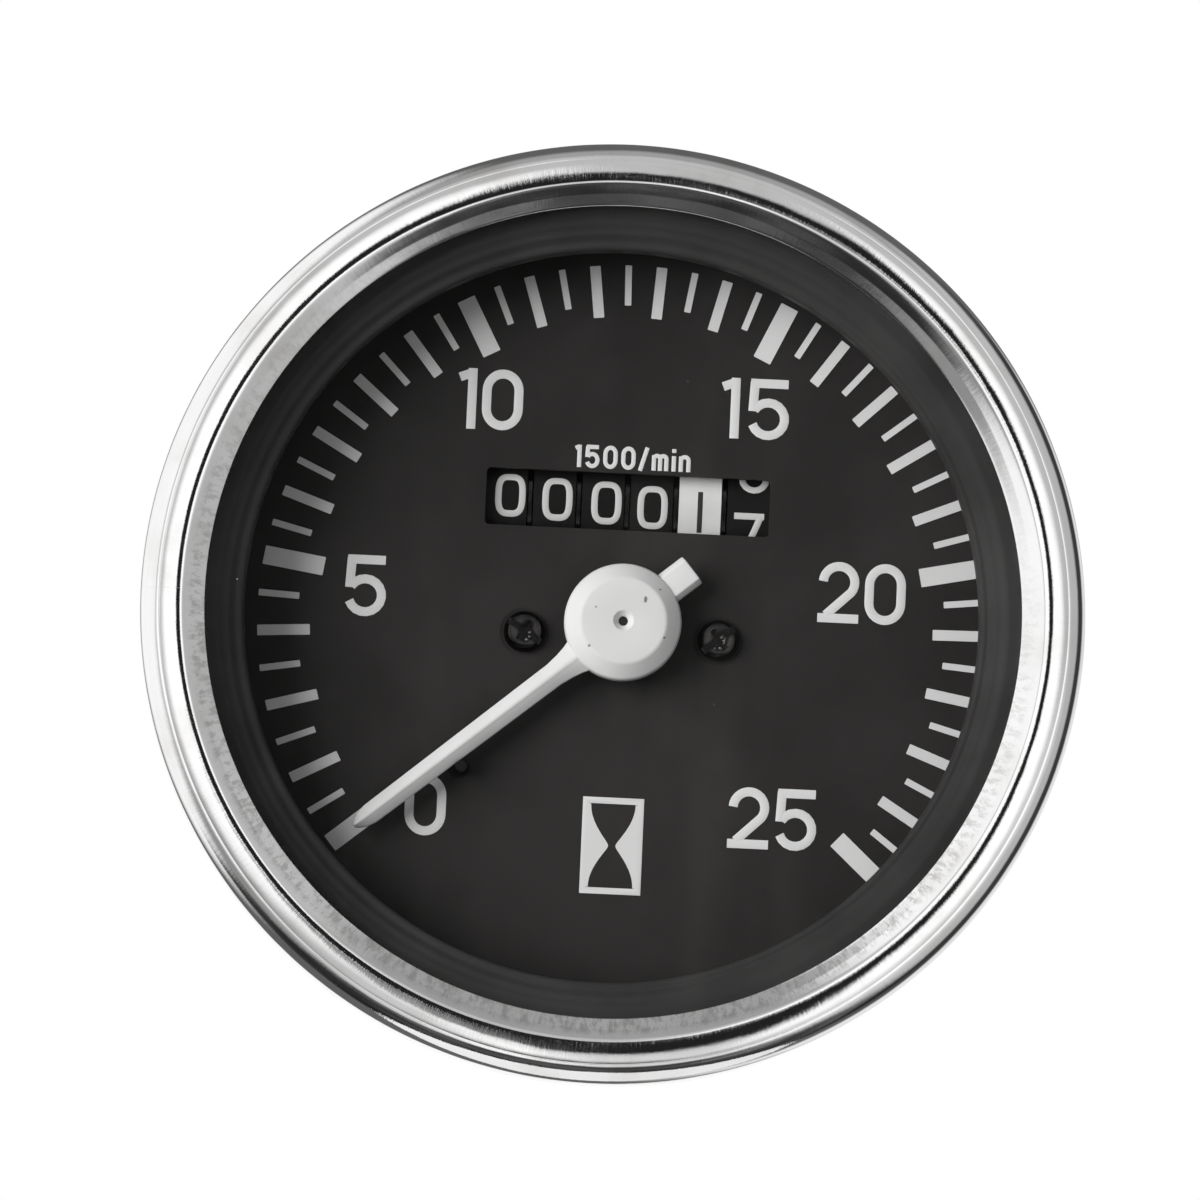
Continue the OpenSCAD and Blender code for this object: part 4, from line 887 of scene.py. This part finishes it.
bow_side = [(BOW_END, BOW_FOOT)] + arc(BOW_END - BEND_R, BOW_BACK - BEND_R, BEND_R, 0, 90, 8)
bow_inside = (arc(BOW_END - BEND_R, BOW_BACK - BEND_R, BEND_R - BOW_T, 90, 0, 8)
              + [(BOW_END - BOW_T, BOW_FOOT)])
mirrored = [(-px, py) for px, py in bow_side[::-1] + bow_inside[::-1]]
strap = prism(bow_side + mirrored + bow_inside, -BOW_HALF, BOW_HALF)
bmesh.ops.rotate(strap, cent=(0, 0, 0), matrix=Matrix.Rotation(math.radians(-90), 3, "X"), verts=strap.verts)
holes = [disc(DIAL_X, 0, 15.23, 60, 70, 96)] + [disc(side * STUDS_X, 0, 2.8, 60, 70, 32) for side in (-1, 1)]
bow = carved(strap, holes, [disc(DIAL_X, 0, 20.23, BOW_BACK - BOW_T, BOW_BACK, 96)])
bow = finished(bow, "bent_bow", "zinc")
softened(bow, 0.25)
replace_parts(bow, "clamp_bow")

screws_low, screws_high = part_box("movement_screws")
middle = (screws_low.x + screws_high.x) / 2 / MM
FRAME_SCREW = [(0, 52.2), (1.5, 52.2), (1.5, BACK), (2.8, BACK), (2.8, 63.6, 0.3), (2.2, 64.15, 0.5), (0, 64.3)]
slotted = []
for number, (px, pz) in enumerate(((33, 10), (-33, 10), (-24, -20), (24, -20))):
    head = carved(spun(FRAME_SCREW, 48), [prism(rounded(0, 0, 7, 0.8, 0.05), 63.5, 65)])
    slotted.append(moved(head, middle + px, 0, pz, 25 + 67 * number))
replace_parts(finished(joined(*slotted), "slotted_frame_screws", "zinc"), "movement_screws")

# A small pale floor, well below

round_floor = bmesh.new()
bmesh.ops.create_circle(round_floor, cap_ends=True, radius=0.16, segments=96)
bmesh.ops.translate(round_floor, vec=(0, 0, -0.3), verts=round_floor.verts)
floor = placed("floor", poured(round_floor, "floor"))
floor.data.materials.append(Finish("pale_floor").surface(base_color=(0.8, 0.8, 0.8), roughness=0.8))


# The studio

def studio():
    """White behind, pale walls in front, a bright window on the left, a dark table below, and the dark shapes
    of the photographer and the tripod in the middle. The chrome mirrors this room. Paint gets an even level
    from it, and the background is plain white."""
    f = Finish("studio", bpy.data.worlds.new("studio"))
    way = f.add("TexCoord", output=0)
    x, y, z = f.parts(way)
    ahead = -y
    person = (1 - abs(x - 0.09).rise(0.10, 0.14)) * (1 - abs(z - 0.05).rise(0.26, 0.36))
    tripod = (1 - abs(x + 0.06).rise(0.05, 0.10)) * (1 - abs(z + 0.10).rise(0.10, 0.16)) * 0.75
    walls = 0.42 + ahead.rise(0.77, 0.92) * (-x).rise(0.0, 0.06).larger(x.rise(0.18, 0.25)) * 0.6
    low = (-z).rise(0.02, 0.34)
    walls = walls * (1 - low * ((-x).rise(0.0, 0.2) * 0.6 + x.rise(0.0, 0.2) * 0.25))
    walls = walls + (x * 0.4 - z).rise(0.1, 0.5) * ahead.rise(0.5, 0.75) * 0.25
    walls = walls * ahead.rise(0.4, 0.67)
    window = (z * 0.3 - x).rise(0.5, 0.78) * 0.9
    right_wall = x.rise(0.3, 0.6) * ahead.rise(0.13, 0.4) * 0.44
    far_right = (-ahead).rise(0.3, 0.6) * (x - z * 0.35).rise(0.3, 0.6) * 0.75
    ceiling = z.rise(0.4, 0.7) * ahead.rise(0.1, 0.4) * 0.24
    table = (-z - x * 0.1).rise(0.48, 0.64) * ahead.rise(-0.1, 0.1)
    clutter = f.add("TexNoise", {}, {"Vector": way, "Scale": 5.0, "Detail": 5.0, "Roughness": 0.65})
    room = 0.11 - x.rise(0.5, 0.8) * 0.08
    room = room + walls.larger(window).larger(right_wall.larger(ceiling).larger(far_right))
    room = (room * (1 - table * (0.95 - clutter.rise(0.45, 0.7) * 0.3))) * (0.9 + clutter * 0.2)
    room = 0.015 + room * (1 - person.larger(tripod))
    paper = y.rise(0.82, 0.9)
    seen = f.add("LightPath", output=0) + f.add("LightPath", output=6)
    on_paint = f.add("LightPath", output=2)
    level = room.larger(paper).larger(seen.smaller(1.0)) * (1 - on_paint) + on_paint * 0.30
    return f.end(f.add("Background", {}, {"Color": (1, 1, 1), "Strength": level}), "World")


bpy.context.scene.world = studio()


def soft_lamp(name, place, wide, tall, power):
    """A large soft light that faces the origin, and isn't mirrored in the chrome."""
    lamp = bpy.data.lights.new(name, "AREA")
    lamp.shape = "ELLIPSE"
    lamp.size, lamp.size_y, lamp.energy = wide, tall, power
    holder = placed(name, lamp)
    facing = (-Vector(place)).to_track_quat("-Z", "Y").to_matrix().to_4x4()
    holder.matrix_world = Matrix.Translation(place) @ facing
    holder.visible_glossy = False


soft_lamp("window_lamp", (-0.78, -0.66, 0.14), 0.95, 0.74, 15.6)
soft_lamp("back_lamp", (0.55, 0.95, 0.55), 0.6, 0.6, 14.0)

# The camera, a little left of and below the dial's axis, turned a little clockwise

CAMERA_PLACE = (-0.02927, -0.90517, -0.10262)
PAN, TILT, ROLL = (math.radians(a) for a in (1.76, 6.582, 2.508))
ahead = Vector((math.sin(PAN) * math.cos(TILT), math.cos(PAN) * math.cos(TILT), math.sin(TILT)))
level_right = Vector((math.cos(PAN), -math.sin(PAN), 0))
level_up = level_right.cross(ahead)
right = level_right * math.cos(ROLL) + level_up * math.sin(ROLL)
up = level_up * math.cos(ROLL) - level_right * math.sin(ROLL)
lens_data = bpy.data.cameras.new("camera")
lens_data.sensor_width = 36
lens_data.lens = 234.14
camera = placed("camera", lens_data)
axes = Matrix((right, up, -ahead)).transposed().to_4x4()
camera.matrix_world = Matrix.Translation(CAMERA_PLACE) @ axes
bpy.context.scene.camera = camera
bpy.context.scene.view_settings.view_transform = "Standard"
